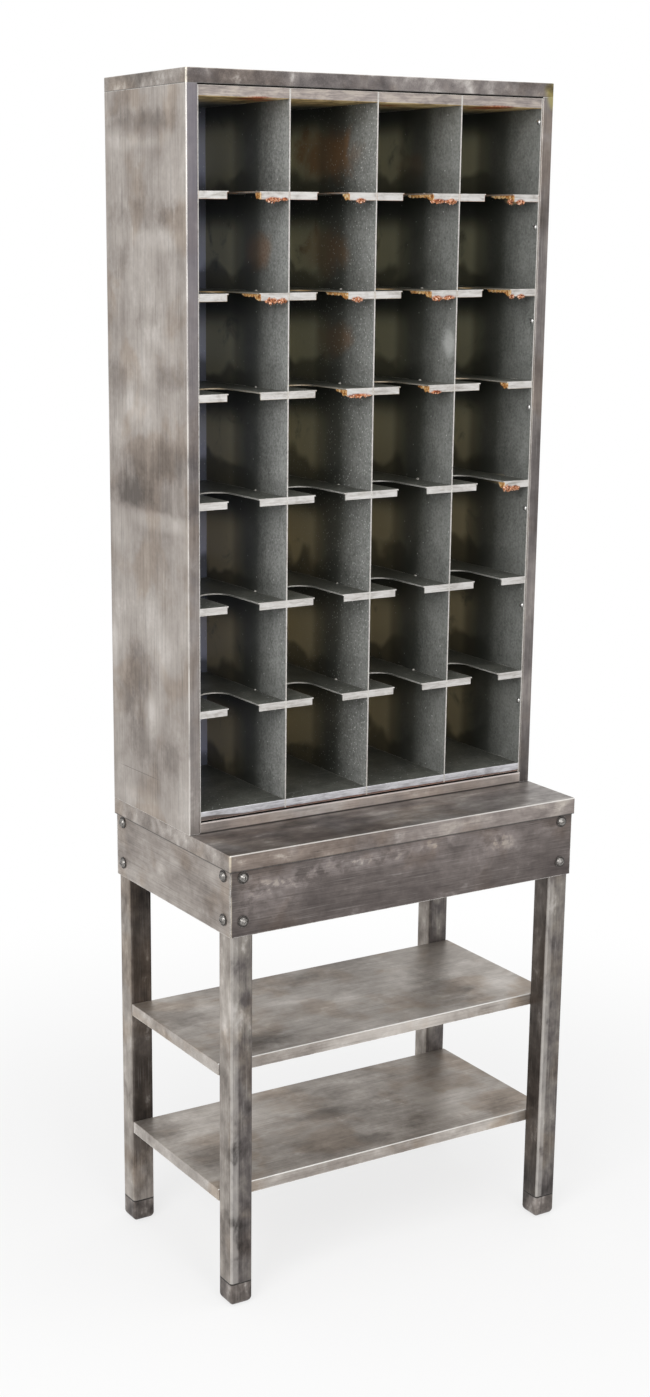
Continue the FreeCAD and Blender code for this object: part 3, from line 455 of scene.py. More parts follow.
# lines of wear, painted highlights along sideFold, topFold, panFold, legCorner and legBeside, and the stile's
# darker top: width in metres, noise values between which they show, what that adds, base and tone
wearAndHighlightLook = {
    "stileTop": (0, 1.25, 1.88, 0.7, 0, "625f69"),
    "stileEdge": (0.0022, 0.3, 0.5, 0.6, 0, "e0d8c9"),
    "stileEdgeRight": (0.0024, 0.25, 0.45, 0.8, 0, "f0eeea"),
    "sideFold": (0.0026, 0.35, 0.6, 0.6, 0, "e0dcd6"),
    "capCorner": (0.006, 0.35, 0.6, 0.7, 0, "f2ebdc"),
    "topCorner": (0.0036, 0.3, 0.6, 0.7, 0, "d9cdb8"),
    "topFold": (0.0022, 0.35, 0.6, 0.5, 0.4, "f0ede8"),
    "apronCorner": (0.003, 0.3, 0.6, 0.6, 0, "dcd2c2"),
    "panFold": (0.002, 0.35, 0.6, 0.4, 0.5, "f2f0ec"),
    "railEdge": (0, 0.2, 0.5, 0.9, 0, "efe6e1"),
    # painted highlights on the front legs' corners and beside them
    "legCorner": (0, 0.4, 0.75, 0.225, 0.225, "d3cec8"),
    "legBeside": (0, 0.2, 0.5, 0.38, 0, "cbc6c1"),
}
# dark seams: the span above the seam over which the darkening fades, in metres, and its strength; at the
# rail's foot it is dirt and a painted contact shadow
seamLook = {
    "capLip": (0.0004, 0.0014, 0.85),
    "topLip": (0.0006, 0.0022, 0.85),
    "apronTop": (-0.003, -0.0006, 0.9),
    "railFoot": (0.0008, 0.0026, 0.9),
    "legEnd": (0.0003, 0.0012, 0.9),
    "footTop": (-0.0026, -0.0014, 0.95),
}
# broad gradients: the places between which it rises, in metres, and its strength; the ledge's is a painted
# highlight and innerLeg's a painted shade
slopeLook = {
    "sideTop": (1.78, 1.86, 0.05),
    "ledge": (-0.15, 0.3, 0.22),
    "apron": (0.66, 0.74, 0.12),
    "leg": (0.04, 0.34, 0.16),
    "innerLeg": (0.12, 0.19, 0.42),
}


def wearAndHighlight(made, name, noise, places, mask=1):
    # a line near all the places, each an axis and a value on it: wear, and on the folds and leg corners named
    # above a painted highlight
    width, low, high, added, base, code = wearAndHighlightLook[name]
    strength = made.smooth(noise, low, high) * added + base
    for axis, value in places:
        strength = strength * made.near(axis, value, width)
    made.lay(strength * mask, code)


def seam(made, height, name):
    low, high, strength = seamLook[name]
    rise = made.smooth(made.z, height + low, height + high)
    return (rise if high < 0 else 1 - rise) * strength


def soilAndShade(made, darkening):
    # darkening at seams; at the rail's foot and along the cabinet's foot on the ledge it is a painted contact
    # shadow
    made.lay(darkening, steelLook["dirtAndShadow"])


def slope(made, axis, name):
    low, high, strength = slopeLook[name]
    return made.smooth(axis, low, high) * strength


# a fine score line low on the left side, in metres
scoreLook = {
    "height": 0.854,
    "drop": 0.02,  # per metre of depth
    "width": 0.0007,
    "middle": 0.105,  # along Y
    "long": 0.085,  # from the middle
    "shade": (0.6, "4b443f"),
}
# olive stains: height above the cap's lower edge, reach and strength
oliveLook = {
    "stile": (0, (0.014, 0.03, 0.022), 0.7),
    "cap": (0.008, (0.022, 0.03, 0.018), 0.8),
    "stileTone": "a39a5e",
    "capTones": ("4a3d20", "8f8347", "c9bd86"),
}
# the brown band: its edges, how uneven the lower one is, its level and its strength
bandLook = {"lower": (1.29, 1.3), "upper": (1.35, 1.45), "streak": 0.035, "curl": 0.02, "shade": (0.85, 0.5)}
# painted highlights on the front legs' corners: how they fade with the height, and the painted highlights
# beside them
cornerHighlightLook = {"facing": (0.2, 0.5), "rise": (0.15, 0.6), "lost": 0.45, "beside": 0.0065,
              "widths": (0.0095, 0.0075)}


def foldLine(made, curl, streak):
    # the left stile's darker top and bright inner edge, the side's front fold rubbed bright and painted as a
    # highlight, and the score line
    stile = made.facing("Y", -1)
    wearAndHighlight(made, "stileTop", made.z, [], stile)
    wearAndHighlight(made, "stileEdge", streak, [(made.x, stileWide - halfWide)], stile)
    # the side's front fold: rubbed bright, with a painted highlight
    fold = [(made.x, -halfWide), (made.y, cabinetFront)]
    wearAndHighlight(made, "sideFold", curl * 0.5 + streak * 0.5, fold)
    look = scoreLook
    score = made.near(made.z + made.y * look["drop"], look["height"], look["width"])
    score = score * made.near(made.y, look["middle"], look["long"])
    strength, code = look["shade"]
    made.lay(score * strength, code)


def oliveStain(made, curl, name, stain):
    above, reach, strength = oliveLook[name]
    patch = made.mark((halfWide, cabinetFront, capBottom + above), reach, curl)
    made.lay(patch * strength, stain)


def rightFold(made, curl, streak):
    # the right stile's bright inner edge, and the olive stain on it
    inner = [(made.x, halfWide - stileWide)]
    wearAndHighlight(made, "stileEdgeRight", streak, inner, made.facing("Y", -1))
    oliveStain(made, curl, "stile", oliveLook["stileTone"])


def brownBand(made, curl, streak):
    # a broad brown band of streaks with an uneven lower edge
    look = bandLook
    uneven = made.z + (streak - 0.5) * look["streak"] + (curl - 0.5) * look["curl"]
    band = made.smooth(uneven, *look["lower"]) * (1 - made.smooth(made.z, *look["upper"]))
    level, strength = look["shade"]
    return band * (streak - level) * strength + slope(made, made.z, "sideTop")


def capSeam(made, curl, streak):
    # dirt under the cap's lip, a pale left corner and an olive right one
    soilAndShade(made, seam(made, capBottom, "capLip"))
    corner = [(made.x, -halfWide - sheet), (made.y, cabinetFront - sheet)]
    wearAndHighlight(made, "capCorner", curl, corner)
    oliveStain(made, curl, "cap", made.palette(curl, oliveLook["capTones"], 0.35, 0.65))


def lipSeam(made, curl, streak):
    # a pale left corner, a front fold rubbed bright and painted as a highlight, darker along the lip's lower
    # edge, and a painted contact shadow where the cabinet stands on the ledge
    wearAndHighlight(made, "topCorner", curl, [(made.x, -halfWide), (made.y, tableFront)])
    # the front fold: rubbed bright, with a painted highlight
    wearAndHighlight(made, "topFold", streak, [(made.z, tableTop), (made.y, tableFront)])
    # painted contact shadow on the ledge along the cabinet's foot
    foot = made.near(made.y, cabinetFront - 0.0006, 0.0036) * made.facing("Z", 1) * seamLook["topLip"][2]
    soilAndShade(made, seam(made, lipBottom, "topLip").most(foot))


def ledgeHighlight(made, curl, streak):
    # the table top is painted paler towards its right end, a broad painted highlight
    return slope(made, made.x, "ledge")


def apronSeam(made, curl, streak):
    wearAndHighlight(made, "apronCorner", curl, [(made.x, apronEnd)], made.facing("Y", -1))
    soilAndShade(made, seam(made, lipBottom, "apronTop"))


def apronShade(made, curl, streak):
    # the apron darkens towards its lower fold, with pale clouds where it was rubbed
    cloudy = made.noise((44, 44, 60), (2, 5, 1), 6, 0.66, 0.15)
    rubbed = made.marks(apronMarks, cloudy * 0.4 + 0.34) * (made.smooth(cloudy, 0.4, 0.6) + 0.12)
    return slope(made, made.z, "apron") - slopeLook["apron"][2] + rubbed


def railEdges(made, curl, streak):
    # the rail's polished upper edge, and dirt with a painted contact shadow along its foot
    wearAndHighlight(made, "railEdge", streak, [], made.past(made.z, railTop, (-0.0026, -0.0012)))
    soilAndShade(made, seam(made, tableTop, "railFoot"))


def panFold(made, curl, streak):
    # the front fold of the shelf pans, polished and painted as a highlight
    width = wearAndHighlightLook["panFold"][0]
    lower, upper = (made.near(made.z, top, width) for top in panTops.values())
    wearAndHighlight(made, "panFold", streak, [(made.y, panFront)], lower.most(upper))


def feetSeam(made, curl, streak):
    soilAndShade(made, seam(made, footTop, "legEnd"))


def footSeam(made, curl, streak):
    soilAndShade(made, seam(made, footTop, "footTop"))


def cornerHighlight(made, curl, streak):
    # painted highlights on the front legs' left corners and beside them, stronger low down
    look = cornerHighlightLook
    left, front = (made.smooth(made.axis(made.face, name) * -1, *look["facing"]) for name in "XY")
    low = 1 - made.smooth(made.z, *look["rise"]) * look["lost"]
    beside = [made.near(made.x, edge + look["beside"], wide) for edge, wide in zip(legEdges, look["widths"])]
    wearAndHighlight(made, "legBeside", curl, [], beside[0].most(beside[1]) * front * low)
    wearAndHighlight(made, "legCorner", curl + streak * 0.3, [], left * front * low)
    feetSeam(made, curl, streak)


def legShade(made, curl, streak):
    # the legs darken towards the feet
    return slope(made, made.z, "leg") - slopeLook["leg"][2]


def innerShade(made, curl, streak):
    # the rear left leg's front face, painted in shade, is paler below the lower shelf
    return (slopeLook["innerLeg"][2] - slope(made, made.z, "innerLeg")) * made.facing("Y", -1)


def finishShell():
    stile = ("Y", -1, "stile")
    steel("sideSteelLeft", "cabinet_left_side", palette="side", along="z", level=0.56, cloud=0.6, curl=0.25,
          streak=0.38, marks=sideMarks, faces=[stile], shade=brownBand, colour=foldLine)
    steel("sideSteelRight", "cabinet_right_side", palette="side", along="z", shift=(3, 1, 0), level=0.36,
          curl=0.4, streak=0.55, faces=[stile], colour=rightFold)
    steel("backSteel", "cabinet_back", palette="side", along="z", shift=(5, 2, 0), streak=0.55)
    faces = [("Y", -1, "cap"), ("X", -1, "capSide"), ("Z", 1, "pan")]
    steel("capSteel", "cabinet_cap", palette="side", along="", shift=(1, 4, 2), curl=0.9, faces=faces,
          colour=capSeam, worn=0.9)
    steel("railSteel", "cabinet_base", palette="rail", shift=(2, 3, 1), level=0.6, brown=0.2,
          colour=railEdges)


def finishTable():
    faces = [("Z", 1, "ledge"), ("X", -1, "side"), ("X", 1, "legFront")]
    steel("topSteel", "table_top", palette="lipFront", shift=(4, 0, 3), curl=0.9, streak=0.5, faces=faces,
          colour=lipSeam, shade=ledgeHighlight, worn=1)
    steel("apronSteel", "front_apron", shift=(6, 1, 1), level=0.37, clouds=5, cloud=0.5, curl=0.5,
          streak=0.25, shade=apronShade, colour=apronSeam)
    steel("apronSideSteel", "left_apron", "right_apron", palette="side", along="y", shift=(7, 2, 2),
          level=0.54, colour=apronSeam)
    steel("apronRearSteel", "rear_apron", shift=(8, 3, 3), curl=1.2, colour=apronSeam)
    for number, pan in enumerate(["lower_shelf", "upper_shelf"]):
        steel(pan + "_steel", pan, palette="panLip", shift=(number, 11, 0), level=0.54, clouds=3.4, cloud=0.8,
              curl=0.5, streak=0.2, brown=0.5, marks=panMarks[pan], colour=panFold, faces=[("Z", 1, "pan")],
              worn=1)


def finishLegs():
    for number, corner in enumerate(["front_left", "front_right", "rear_left", "rear_right"]):
        # the front right leg's left face and the rear left leg's front face take the painted shade palette
        left = "legInShade" if corner == "front_right" else "legSide"
        front = "legInShade" if corner == "rear_left" else "legFront"
        steel("legSteel_" + corner, "leg_" + corner, palette="legFront", along="z", shift=(number * 2, 9, 0),
              clouds=9, curl=0.8, curls=44, worn=0.7, faces=[("X", -1, left), ("Y", -1, front)],
              marks=legMarks if corner == "front_left" else (),
              shade=innerShade if corner == "rear_left" else legShade,
              colour=cornerHighlight if corner.startswith("front") else feetSeam)
        steel("footSteel_" + corner, "foot_" + corner, palette="foot", along="z", shift=(number * 2, 13, 0),
              clouds=20, curl=0.9, curls=60, level=0.46, colour=footSeam, worn=0.6)


finishShell()
finishTable()
finishLegs()
print("steel finished")

# fasteners: colour, darker mottle, metallic, roughness, and mottles per metre
smallLook = {
    "screwSteel": ("a9a6a2", "3f3b38", 0.92, 0.3, 300),
    # the washers' dark tone is partly their own and partly painted shade around the screw heads
    "washerSteel": ("5a5552", "231f1d", 0.7, 0.45, 240),
    "boltZinc": ("a8a7a2", "7b7a76", 0.9, 0.38, 150),
    "rivetAlloy": ("dededd", "a2a19e", 0.9, 0.36, 300),
    "edge": "d9d5cf",
    "edgeWidth": 0.001,
    "finer": 6,  # the fine mottle's density against the other's
}


def smallMetal(name, *targets, worn=0.7):
    colour, dark, metallic, roughness, density = smallLook[name]
    made = Finish(name)
    mottle = made.noise(density, (0, 0, 0), 5, 0.65, 0.5)
    fine = made.noise(density * smallLook["finer"], (0, 0, 0), 2, 0.5)
    made.colour = made.palette(mottle * 0.8 + fine * 0.2, (dark, colour), 0.3, 0.7)
    made.lay(made.edges(smallLook["edgeWidth"]) * made.smooth(mottle, 0.3, 0.6) * worn, smallLook["edge"])
    rough = roughness + (mottle - 0.5) * 0.3
    made.end(rough, made.bump(mottle * 0.7 + fine * 0.3, 0.0005, 0.5), metallic, targets)


def finishSmallParts():
    smallMetal("screwSteel", "apron_screws", "apron_nuts")
    smallMetal("washerSteel", "apron_washers", worn=0.35)
    smallMetal("boltZinc", "cabinet_bolts", "cabinet_nuts")
    smallMetal("rivetAlloy", "insert_rivets", "back_rivets", "shelf_rivets")


finishSmallParts()
print("small parts finished")

# old paint, dusty and painted paler near the front where light comes in, and rubbed bare on the lips and
# front edges
paintLook = {
    "body": ("41443f", "585a55", "6f706b"),
    "dustAndLightTone": "b4b5b2",
    "dustAndLightLevel": (0.78, 0.15),  # of dust and painted light on the first divider, and how much less each next one has
    "deck": ("393a35", "51524c", "6c6c64"),
    "brown": ("c4b590", "bdb99a"),  # painted reflected light at the rear of the pigeonholes, in the lower rows and the upper ones
    "brownRise": (1.15, 1.6),  # heights where the one turns into the other
    "warm": "9a6a3c",
    "tan": "f3d6a6",
    "shadow": "262822",
    "back": "8b91b0",
    "bare": ("9a958f", "bab7b3", "c9c7c4"),
    "sill": ("8e8c8f", "b3b2b6", "cfcfd3"),
    "gap": "4a3c32",
    "crownBare": ("7b7370", "928984", "aea49b"),
    "under": ("5c4c2e", "b89a62", "e6cf9c"),
    "rust": ("2c1209", "7c3516", "b9652c", "d8a268"),
    "speck": "dfe0dd",
    "specks": (170, 0.21, 0.3),  # cells per metre, size in a cell, share of cells
    "bigSpecks": (75, 0.11, 0.2),
    "edge": "e2ded6",
    "edgeWidth": 0.0011,
    "roughness": 0.36,
    "bareMetal": 0.35,
}
# its noises: cells per metre, detail, roughness and warp
paintNoises = {
    "mottle": (230, 5, 0.7, 0.3),
    "broad": (16, 5, 0.6, 0.6),
    "blot": (13, 2, 0.4, 0.3),
    "scuff": ((170, 170, 12), 3, 0.6, 0.2),
    "rub": ((60, 60, 26), 5, 0.7, 0.4),
    "scratch": ((8, 260, 60), 2, 0.5, 1.5),
    "line": ((26, 26, 420), 3, 0.6, 0.3),
    "smudge": ((34, 34, 90), 5, 0.65, 0.6),
}
# depths behind the insert's front, in metres, between which a look sets in or fades
depthLook = {"front": (0.005, 0.145), "rear": (0.08, 0.15), "lit": (0.12, 0.18), "crown": (0.06, 0.2)}
# by kind of sheet: tones of the bare front, and noise values for the worn edges
upright = ("bare", (0.5, 0.8))
paintKinds = {"divider": upright, "wall": upright, "back": upright, "crown": ("crownBare", (0.5, 0.8)),
              "deck": ("bare", (0.3, 0.6)), "sill": ("sill", (0.3, 0.6))}
# painted light and shade by the height in a pigeonhole, and a bluish strip on the back, painted brighter low
# down
cellLook = {
    "lit": (0.34, 0.5),  # where it is lightest, and how far that reaches
    "foot": (0.12, 0.26),  # where the shadow at the foot ends
    "uneven": 0.7,
    "top": (0.5, 0.92),  # where the shadow of the shelf above sets in
    "middle": (0.13, 0.055),  # depth and reach of the shadow halfway in
    "strip": (0, 0.01),  # where the strip ends, past the first divider
    "stripShade": (0.9, 0.35),  # its strength, and what is lost going up
}
# the sill's front, paler upwards, and a painted shadow of the gap below it on its lower edge, wider at the
# left end
sillLook = {"rise": 8, "raised": 0.06, "end": (-0.3, -0.24), "wider": 0.004, "low": (-0.0126, -0.0114)}


def cellHeight(made):
    # from 0 on a pigeonhole's deck to 1 under the next one
    lowerPitch, upperPitch = levels[1] - levels[0], levels[7] - levels[6]
    lower = (made.z - levels[0]) * (1 / lowerPitch)
    upper = (made.z - levels[4]) * (1 / upperPitch)
    above = made.z > levels[4]
    return ((1 - above) * lower + above * upper).part()


def cellShade(made, noise, kind, stains):
    # painted brown reflected light and stains at the rear, with painted shadow halfway in, at the foot and at
    # the top
    look, cell = paintLook, cellLook
    height = cellHeight(made)
    rear = made.past(made.y, insertFront, depthLook["rear"])
    lit = made.near(height, *cell["lit"]) * made.past(made.y, insertFront, depthLook["lit"])
    brown = made.blend(made.smooth(made.z, *look["brownRise"]), *look["brown"])
    # painted reflected light, brown, on the rear half
    made.lay(lit * made.smooth(noise["broad"], 0.2, 0.45) * 0.85, brown)
    for stainTone, rows in stains:
        made.lay(made.marks(rows, noise["broad"]), look[stainTone])
    middle, reach = cell["middle"]
    made.lay(made.near(made.y, insertFront + middle, reach) * 0.55, look["shadow"])
    if kind == "back":
        # the bluish strip: the back's own tone, painted brighter low down where light reaches it
        strip = 1 - made.past(made.x, dividers[0], cell["strip"])
        lowest, lost = cell["stripShade"]
        made.lay(strip * (lowest - height * lost), look["back"])
    foot = 1 - made.smooth(height + (noise["blot"] - 0.5) * cell["uneven"], *cell["foot"])
    made.lay(foot * (rear * 0.8 + 0.2) * 0.7, look["shadow"])
    made.lay(made.smooth(height, *cell["top"]) * (rear * 0.6 + 0.2), look["shadow"])


def bareFront(made, noise, kind, front):
    # bare steel on the front edges, and painted shade for the gap under the sill
    value = noise["line"] * 0.4 + noise["smudge"] * 0.6
    if kind == "sill":
        value = value + (made.z - levels[0]) * sillLook["rise"] + sillLook["raised"]
    made.lay(front, made.palette(value, paintLook[paintKinds[kind][0]], 0.36, 0.58))
    if kind == "sill":
        # painted shadow: the sill front's lower edge darkened as the gap below it
        end = (1 - made.smooth(made.x, *sillLook["end"])) * sillLook["wider"]
        low = 1 - made.past(made.z - end, levels[0], sillLook["low"])
        made.lay(front * low * 0.85, paintLook["gap"])


def paint(name, target, shift, kind, rust=(), dustAndLightLevel=0.55, stains=(), edge=None):
    # the paint of one sheet, set on the target node
    look = paintLook
    made = Finish(name)
    noise = {key: made.noise(factors, shift, *rest) for key, (factors, *rest) in paintNoises.items()}
    mottle, broad, scuff, rub, smudge = (noise[key] for key in ("mottle", "broad", "scuff", "rub", "smudge"))
    nearFront = 1 - made.past(made.y, insertFront, depthLook["front"])
    level = made.facing("Z", 1)
    made.colour = made.palette(broad * 0.6 + mottle * 0.4, look["body"], 0.3, 0.7)
    # dust, with painted light near the open front
    dustAndLight = made.smooth(mottle * 0.6 + scuff * 0.1 + rub * 0.2 + nearFront * 0.18, 0.4, 0.78)
    made.lay(dustAndLight * (nearFront * dustAndLightLevel + 0.12), look["dustAndLightTone"])
    if kind in ("divider", "wall", "back"):
        cellShade(made, noise, kind, stains)
    made.lay(level, made.palette(broad * 0.5 + rub * 0.5, look["deck"], 0.3, 0.7))
    made.lay(level * made.smooth(noise["scratch"], 0.66, 0.74) * 0.35, look["dustAndLightTone"])
    specks = made.spots(*look["specks"], shift).most(made.spots(*look["bigSpecks"], shift))
    made.lay(specks * (0.35 + nearFront * 0.6), look["speck"])
    front = (made.y < insertFront + sheet * 0.35) * made.facing("Y", -1)
    bareFront(made, noise, kind, front)
    if kind == "crown":
        below = made.facing("Z", -1) * (1 - made.past(made.y, insertFront, depthLook["crown"]))
        made.lay(below, made.palette(smudge * 0.6 + broad * 0.4, look["under"], 0.36, 0.62))
    worn = made.edges(look["edgeWidth"]) * made.smooth(mottle + broad * 0.5, *paintKinds[kind][1])
    made.lay(worn * 0.85, edge or look["edge"])
    if kind == "deck":
        rim = (made.y > insertFront + 0.02) * made.facing("Y", -1) * made.smooth(mottle, 0.25, 0.5)
        made.lay(rim * (0.85 if edge else 0.5), edge or look["edge"])
    if rust:
        crust = made.palette(mottle * 0.7 + smudge * 0.3, look["rust"], 0.36, 0.66)
        made.lay(made.marks(rust, smudge * 0.5 + mottle * 0.5), crust)
    rough = look["roughness"] + (mottle - 0.5) * 0.2 + dustAndLight * 0.2
    normal = made.bump(mottle * 0.6 + scuff * 0.4, 0.0004, 0.4)
    made.end(rough, normal, front * look["bareMetal"], [target])


# rust on the lips by shelf: left end, right end and thickness in metres
lipRust = {
    6: [(-0.203, -0.176, 0.0036), (-0.176, -0.163, 0.0016), (-0.038, -0.02, 0.0032), (0.104, 0.132, 0.003),
        (0.132, 0.156, 0.0034), (0.258, 0.27, 0.0034), (0.276, 0.294, 0.0034)],
    5: [(-0.204, -0.18, 0.004), (-0.182, -0.163, 0.0034), (-0.044, -0.022, 0.0036), (0.112, 0.132, 0.0036),
        (0.132, 0.158, 0.0026), (0.268, 0.278, 0.003), (0.284, 0.3, 0.003)],
    4: [(-0.05, -0.003, 0.0026), (0.112, 0.135, 0.0018)],
    3: [(0.268, 0.286, 0.0046), (0.284, 0.304, 0.0036)],
}
# colours of the worn edges, by shelf
notchEdges = {6: "b4763f", 5: "a88a58", 4: "c2b093"}
# tan bands on the right wall: shelf above, nearest and farthest place along Y, height
tanBands = [(6, -0.02, 0.02, 0.008), (3, -0.02, 0.08, 0.01)]
# rust under the crown's plate: place along X, depth, reaches along X and Y, strength
crownRust = [(-0.215, 0.02, 0.035, 0.04, 1.1), (-0.18, 0.05, 0.02, 0.03, 0.9),
             (0.235, 0.03, 0.05, 0.05, 1.2), (0.06, 0.06, 0.03, 0.03, 0.8)]
# brown at the sill's lower edge: place along X, drop, reach and strength
sillRust = (0.05, 0.0145, (0.5, 0.02, 0.003), 0.35)
# stains on the dividers' left faces, by divider and tone
dividerStains = {
    1: [("warm", [(0.03, 1.7, 0.05, 0.035, 0.35)])],
    2: [("warm", [(0.085, 1.85, 0.11, 0.05, 0.85), (0.075, 1.7, 0.08, 0.045, 0.55),
                  (0.055, 1.56, 0.06, 0.035, 0.4)])],
    3: [("warm", [(0.07, 1.83, 0.05, 0.03, 0.25)]), ("speck", [(-0.05, 1.548, 0.022, 0.03, 0.45)])],
}


def lipMarks(number):
    # rust that creeps onto the lip above each crust
    rows = [((left + right) / 2, levels[number] - lip, (right - left) * 0.6, 0.0045, 1.1)
            for left, right, _ in lipRust.get(number, [])]
    return sheetMarks(1, insertFront, rows, through=0.02)


def bandMarks():
    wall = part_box("insert_right_side")[0].x
    rows = [((near + far) / 2, levels[number] - sheet - tall * 0.7, (far - near) * 0.6, tall, 1.2)
            for number, near, far, tall in tanBands]
    return sheetMarks(0, wall, rows, through=0.004)


def finishInsert():
    paint("paintLeftWall", "insert_left_side", (1, 0, 0), "wall")
    bands = [("tan", bandMarks())]
    paint("paintRightWall", "insert_right_side", (1, 2, 0), "wall", dustAndLightLevel=0.35, stains=bands)
    paint("paintBack", "insert_back", (2, 0, 0), "back")
    across, drop, reach, strength = sillRust
    sill = [((across, insertFront, levels[0] - drop), reach, strength)]
    paint("paintBottom", "insert_bottom", (3, 0, 0), "sill", sill)
    rows = [(across, insertFront + depth, *rest) for across, depth, *rest in crownRust]
    crown = sheetMarks(2, levels[7] - crownDrop, rows, through=0.004)
    paint("paintTop", "insert_top", (4, 0, 0), "crown", crown)
    most, less = paintLook["dustAndLightLevel"]
    for number, middle in enumerate(dividers, 1):
        name = "divider_%d" % number
        stains = [(code, sheetMarks(0, middle - sheet / 2, rows, through=0.01))
                  for code, rows in dividerStains[number]]
        dustAndLightLevel = most - less * (number - 1)
        paint("paint_" + name, name, (number, 5, 0), "divider", dustAndLightLevel=dustAndLightLevel, stains=stains)
    for number in range(1, 7):
        name = "pigeonhole_shelf_%d" % number
        edge = notchEdges.get(number)
        paint("paintShelf%d" % number, name, (number, 7, 0), "deck", lipMarks(number), edge=edge)


finishInsert()
print("insert finished")


def addPiece(name, surface, material):
    # closed skins, with x, y and z as arrays by skin, ring and point around: quads between the rings, and a
    # flat cap over the first and the last
    skins = np.stack(np.broadcast_arrays(*surface), axis=-1)
    rings, around = skins.shape[1:3]
    first = np.arange(rings * around).reshape(rings, around)
    turned = np.roll(first, -1, axis=1)
    quads = np.stack([first[:-1], turned[:-1], turned[1:], first[1:]], axis=-1).reshape(-1, 4)
    faces = []
    for start in range(0, len(skins) * rings * around, rings * around):
        faces += (quads + start).tolist()
        faces += [(first[0][::-1] + start).tolist(), (first[-1] + start).tolist()]
    mesh = bpy.data.meshes.new(name)
    mesh.from_pydata(skins.reshape(-1, 3).tolist(), [], faces)
    shape = bmesh.new()
    shape.from_mesh(mesh)
    bmesh.ops.recalc_face_normals(shape, faces=shape.faces)
    shape.to_mesh(mesh)
    shape.free()
    mesh.materials.append(material)
    piece = addObject(name, mesh)
    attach(piece, "root")


def roughFinish(name, look):
    # a crusty or grainy surface
    made = Finish(name)
    grain = made.noise(look["density"], (0, 0, 0), 5, 0.7, 0.6)
    fine = made.noise(look["density"] * 4, (2, 0, 0), 3, 0.6)
    made.colour = made.palette(grain * 0.75 + fine * 0.25, look["colours"], *look["contrast"])
    return made.end(look["rough"] + (fine - 0.5) * 0.3, made.bump(grain, 0.0006, 0.6))


random = np.random.default_rng(11)

crustLook = {
    "colours": ("1a0d07", "874421", "dd9a68", "fbf1e6"),
    "density": 400,
    "contrast": (0.4, 0.6),
    "rough": 0.7,
    "lumpy": 4.5,  # how much the radius varies
    "mean": 0.75,  # of the radius, against the thickness
    "limits": (0.2, 1.7),
    "ends": 0.004,  # share of the length left off at each
    "blunt": 0.4,  # power of the half sine along the length
    "flat": 0.75,  # depth against height
    "behind": 0.0012,  # the insert's front
    "below": 0.0004,  # the lip's lower edge
    "rings": 40,
    "around": 12,
}


def crustSkins():
    # lumpy rods along the lips' lower edges: the radius is the thickness, times a power of a half sine along
    # the length, times drawn numbers that are smoothed along the length and around
    look = crustLook
    rows = [(left, right, levels[shelf], thick) for shelf in lipRust for left, right, thick in lipRust[shelf]]
    left, right, level, thick = np.array(rows).T[:, :, None, None]
    field = random.uniform(0, 1, (len(rows), look["rings"], look["around"]))
    for turn in range(2):
        field = (field + np.roll(field, 1, axis=1) + np.roll(field, 1, axis=2)) / 3
    field = np.clip((field - 0.5) * look["lumpy"] + look["mean"], *look["limits"])
    share = np.linspace(look["ends"], 1 - look["ends"], look["rings"])[:, None]
    angle = np.linspace(0, 2 * math.pi, look["around"], endpoint=False)
    radius = thick * np.sin(math.pi * share) ** look["blunt"] * field
    x = left + (right - left) * share
    y = insertFront + look["behind"] + radius * look["flat"] * np.cos(angle)
    z = level - lip - look["below"] + radius * np.sin(angle)
    return x, y, z


earLook = {
    "colours": ("3a1d0c", "a4622a", "d3a667", "efe2c2"),
    "density": 130,
    "contrast": (0.34, 0.62),
    "rough": 0.55,
    "thick": 0.0012,
    "inset": 0.0011,  # from the notch's edge
    "front": 0.0004,  # behind the insert's front
    "sunk": 0.0003,  # into the shelf
    "raised": 0.0008,  # of the lower edge above the lip's
    "wave": 0.0009,  # of the lower edge
    "waves": 600,  # radians per metre
    "step": 0.005,  # how much lower the front reaches
    "stepAt": (0.01, 0.006),  # its start and its length
    "tail": (0.9, 0.03),  # where the lower edge starts to rise, and how steeply
    "depths": {  # from the front, by shelf and column
        6: (0.015, 0.018, 0.072, 0.06),
        5: (0.055, 0.064, 0.06, 0.064),
        4: (0, 0.03, 0.03, 0.02),
        3: (0, 0, 0, 0.015),
    },
    "rings": 25,
}


def earSkins():
    # thin rusty flanges at the right of finger notches: a rectangle carried back from the front, whose lower
    # edge is a sine with a drawn phase that steps up behind the lip and rises over the last tenth
    look = earLook
    offset = notchHalf + look["inset"]
    rows = [(columns[place] + offset, levels[shelf], depth) for shelf, depths in look["depths"].items()
            for place, depth in enumerate(depths) if depth]
    edge, level, depth = np.array(rows).T[:, :, None, None]
    phase = random.uniform(0, 2 * math.pi, (len(rows), 1, 1))
    share = np.linspace(0, 1, look["rings"])[:, None]
    across, upward = np.array([[0, 1, 1, 0], [0, 0, 1, 1]])
    behind = depth * share
    stepStart, stepLong = look["stepAt"]
    tailStart, tailRise = look["tail"]
    low = level - lip + look["raised"] + look["wave"] * np.sin(behind * look["waves"] + phase)
    low = low + look["step"] * np.clip((behind - stepStart) / stepLong, 0, 1)
    low = low + tailRise * np.maximum(0, share - tailStart)
    high = level - sheet + look["sunk"]
    x = edge + across * look["thick"]
    y = insertFront + look["front"] + behind
    return x, y, low + (high - low) * upward


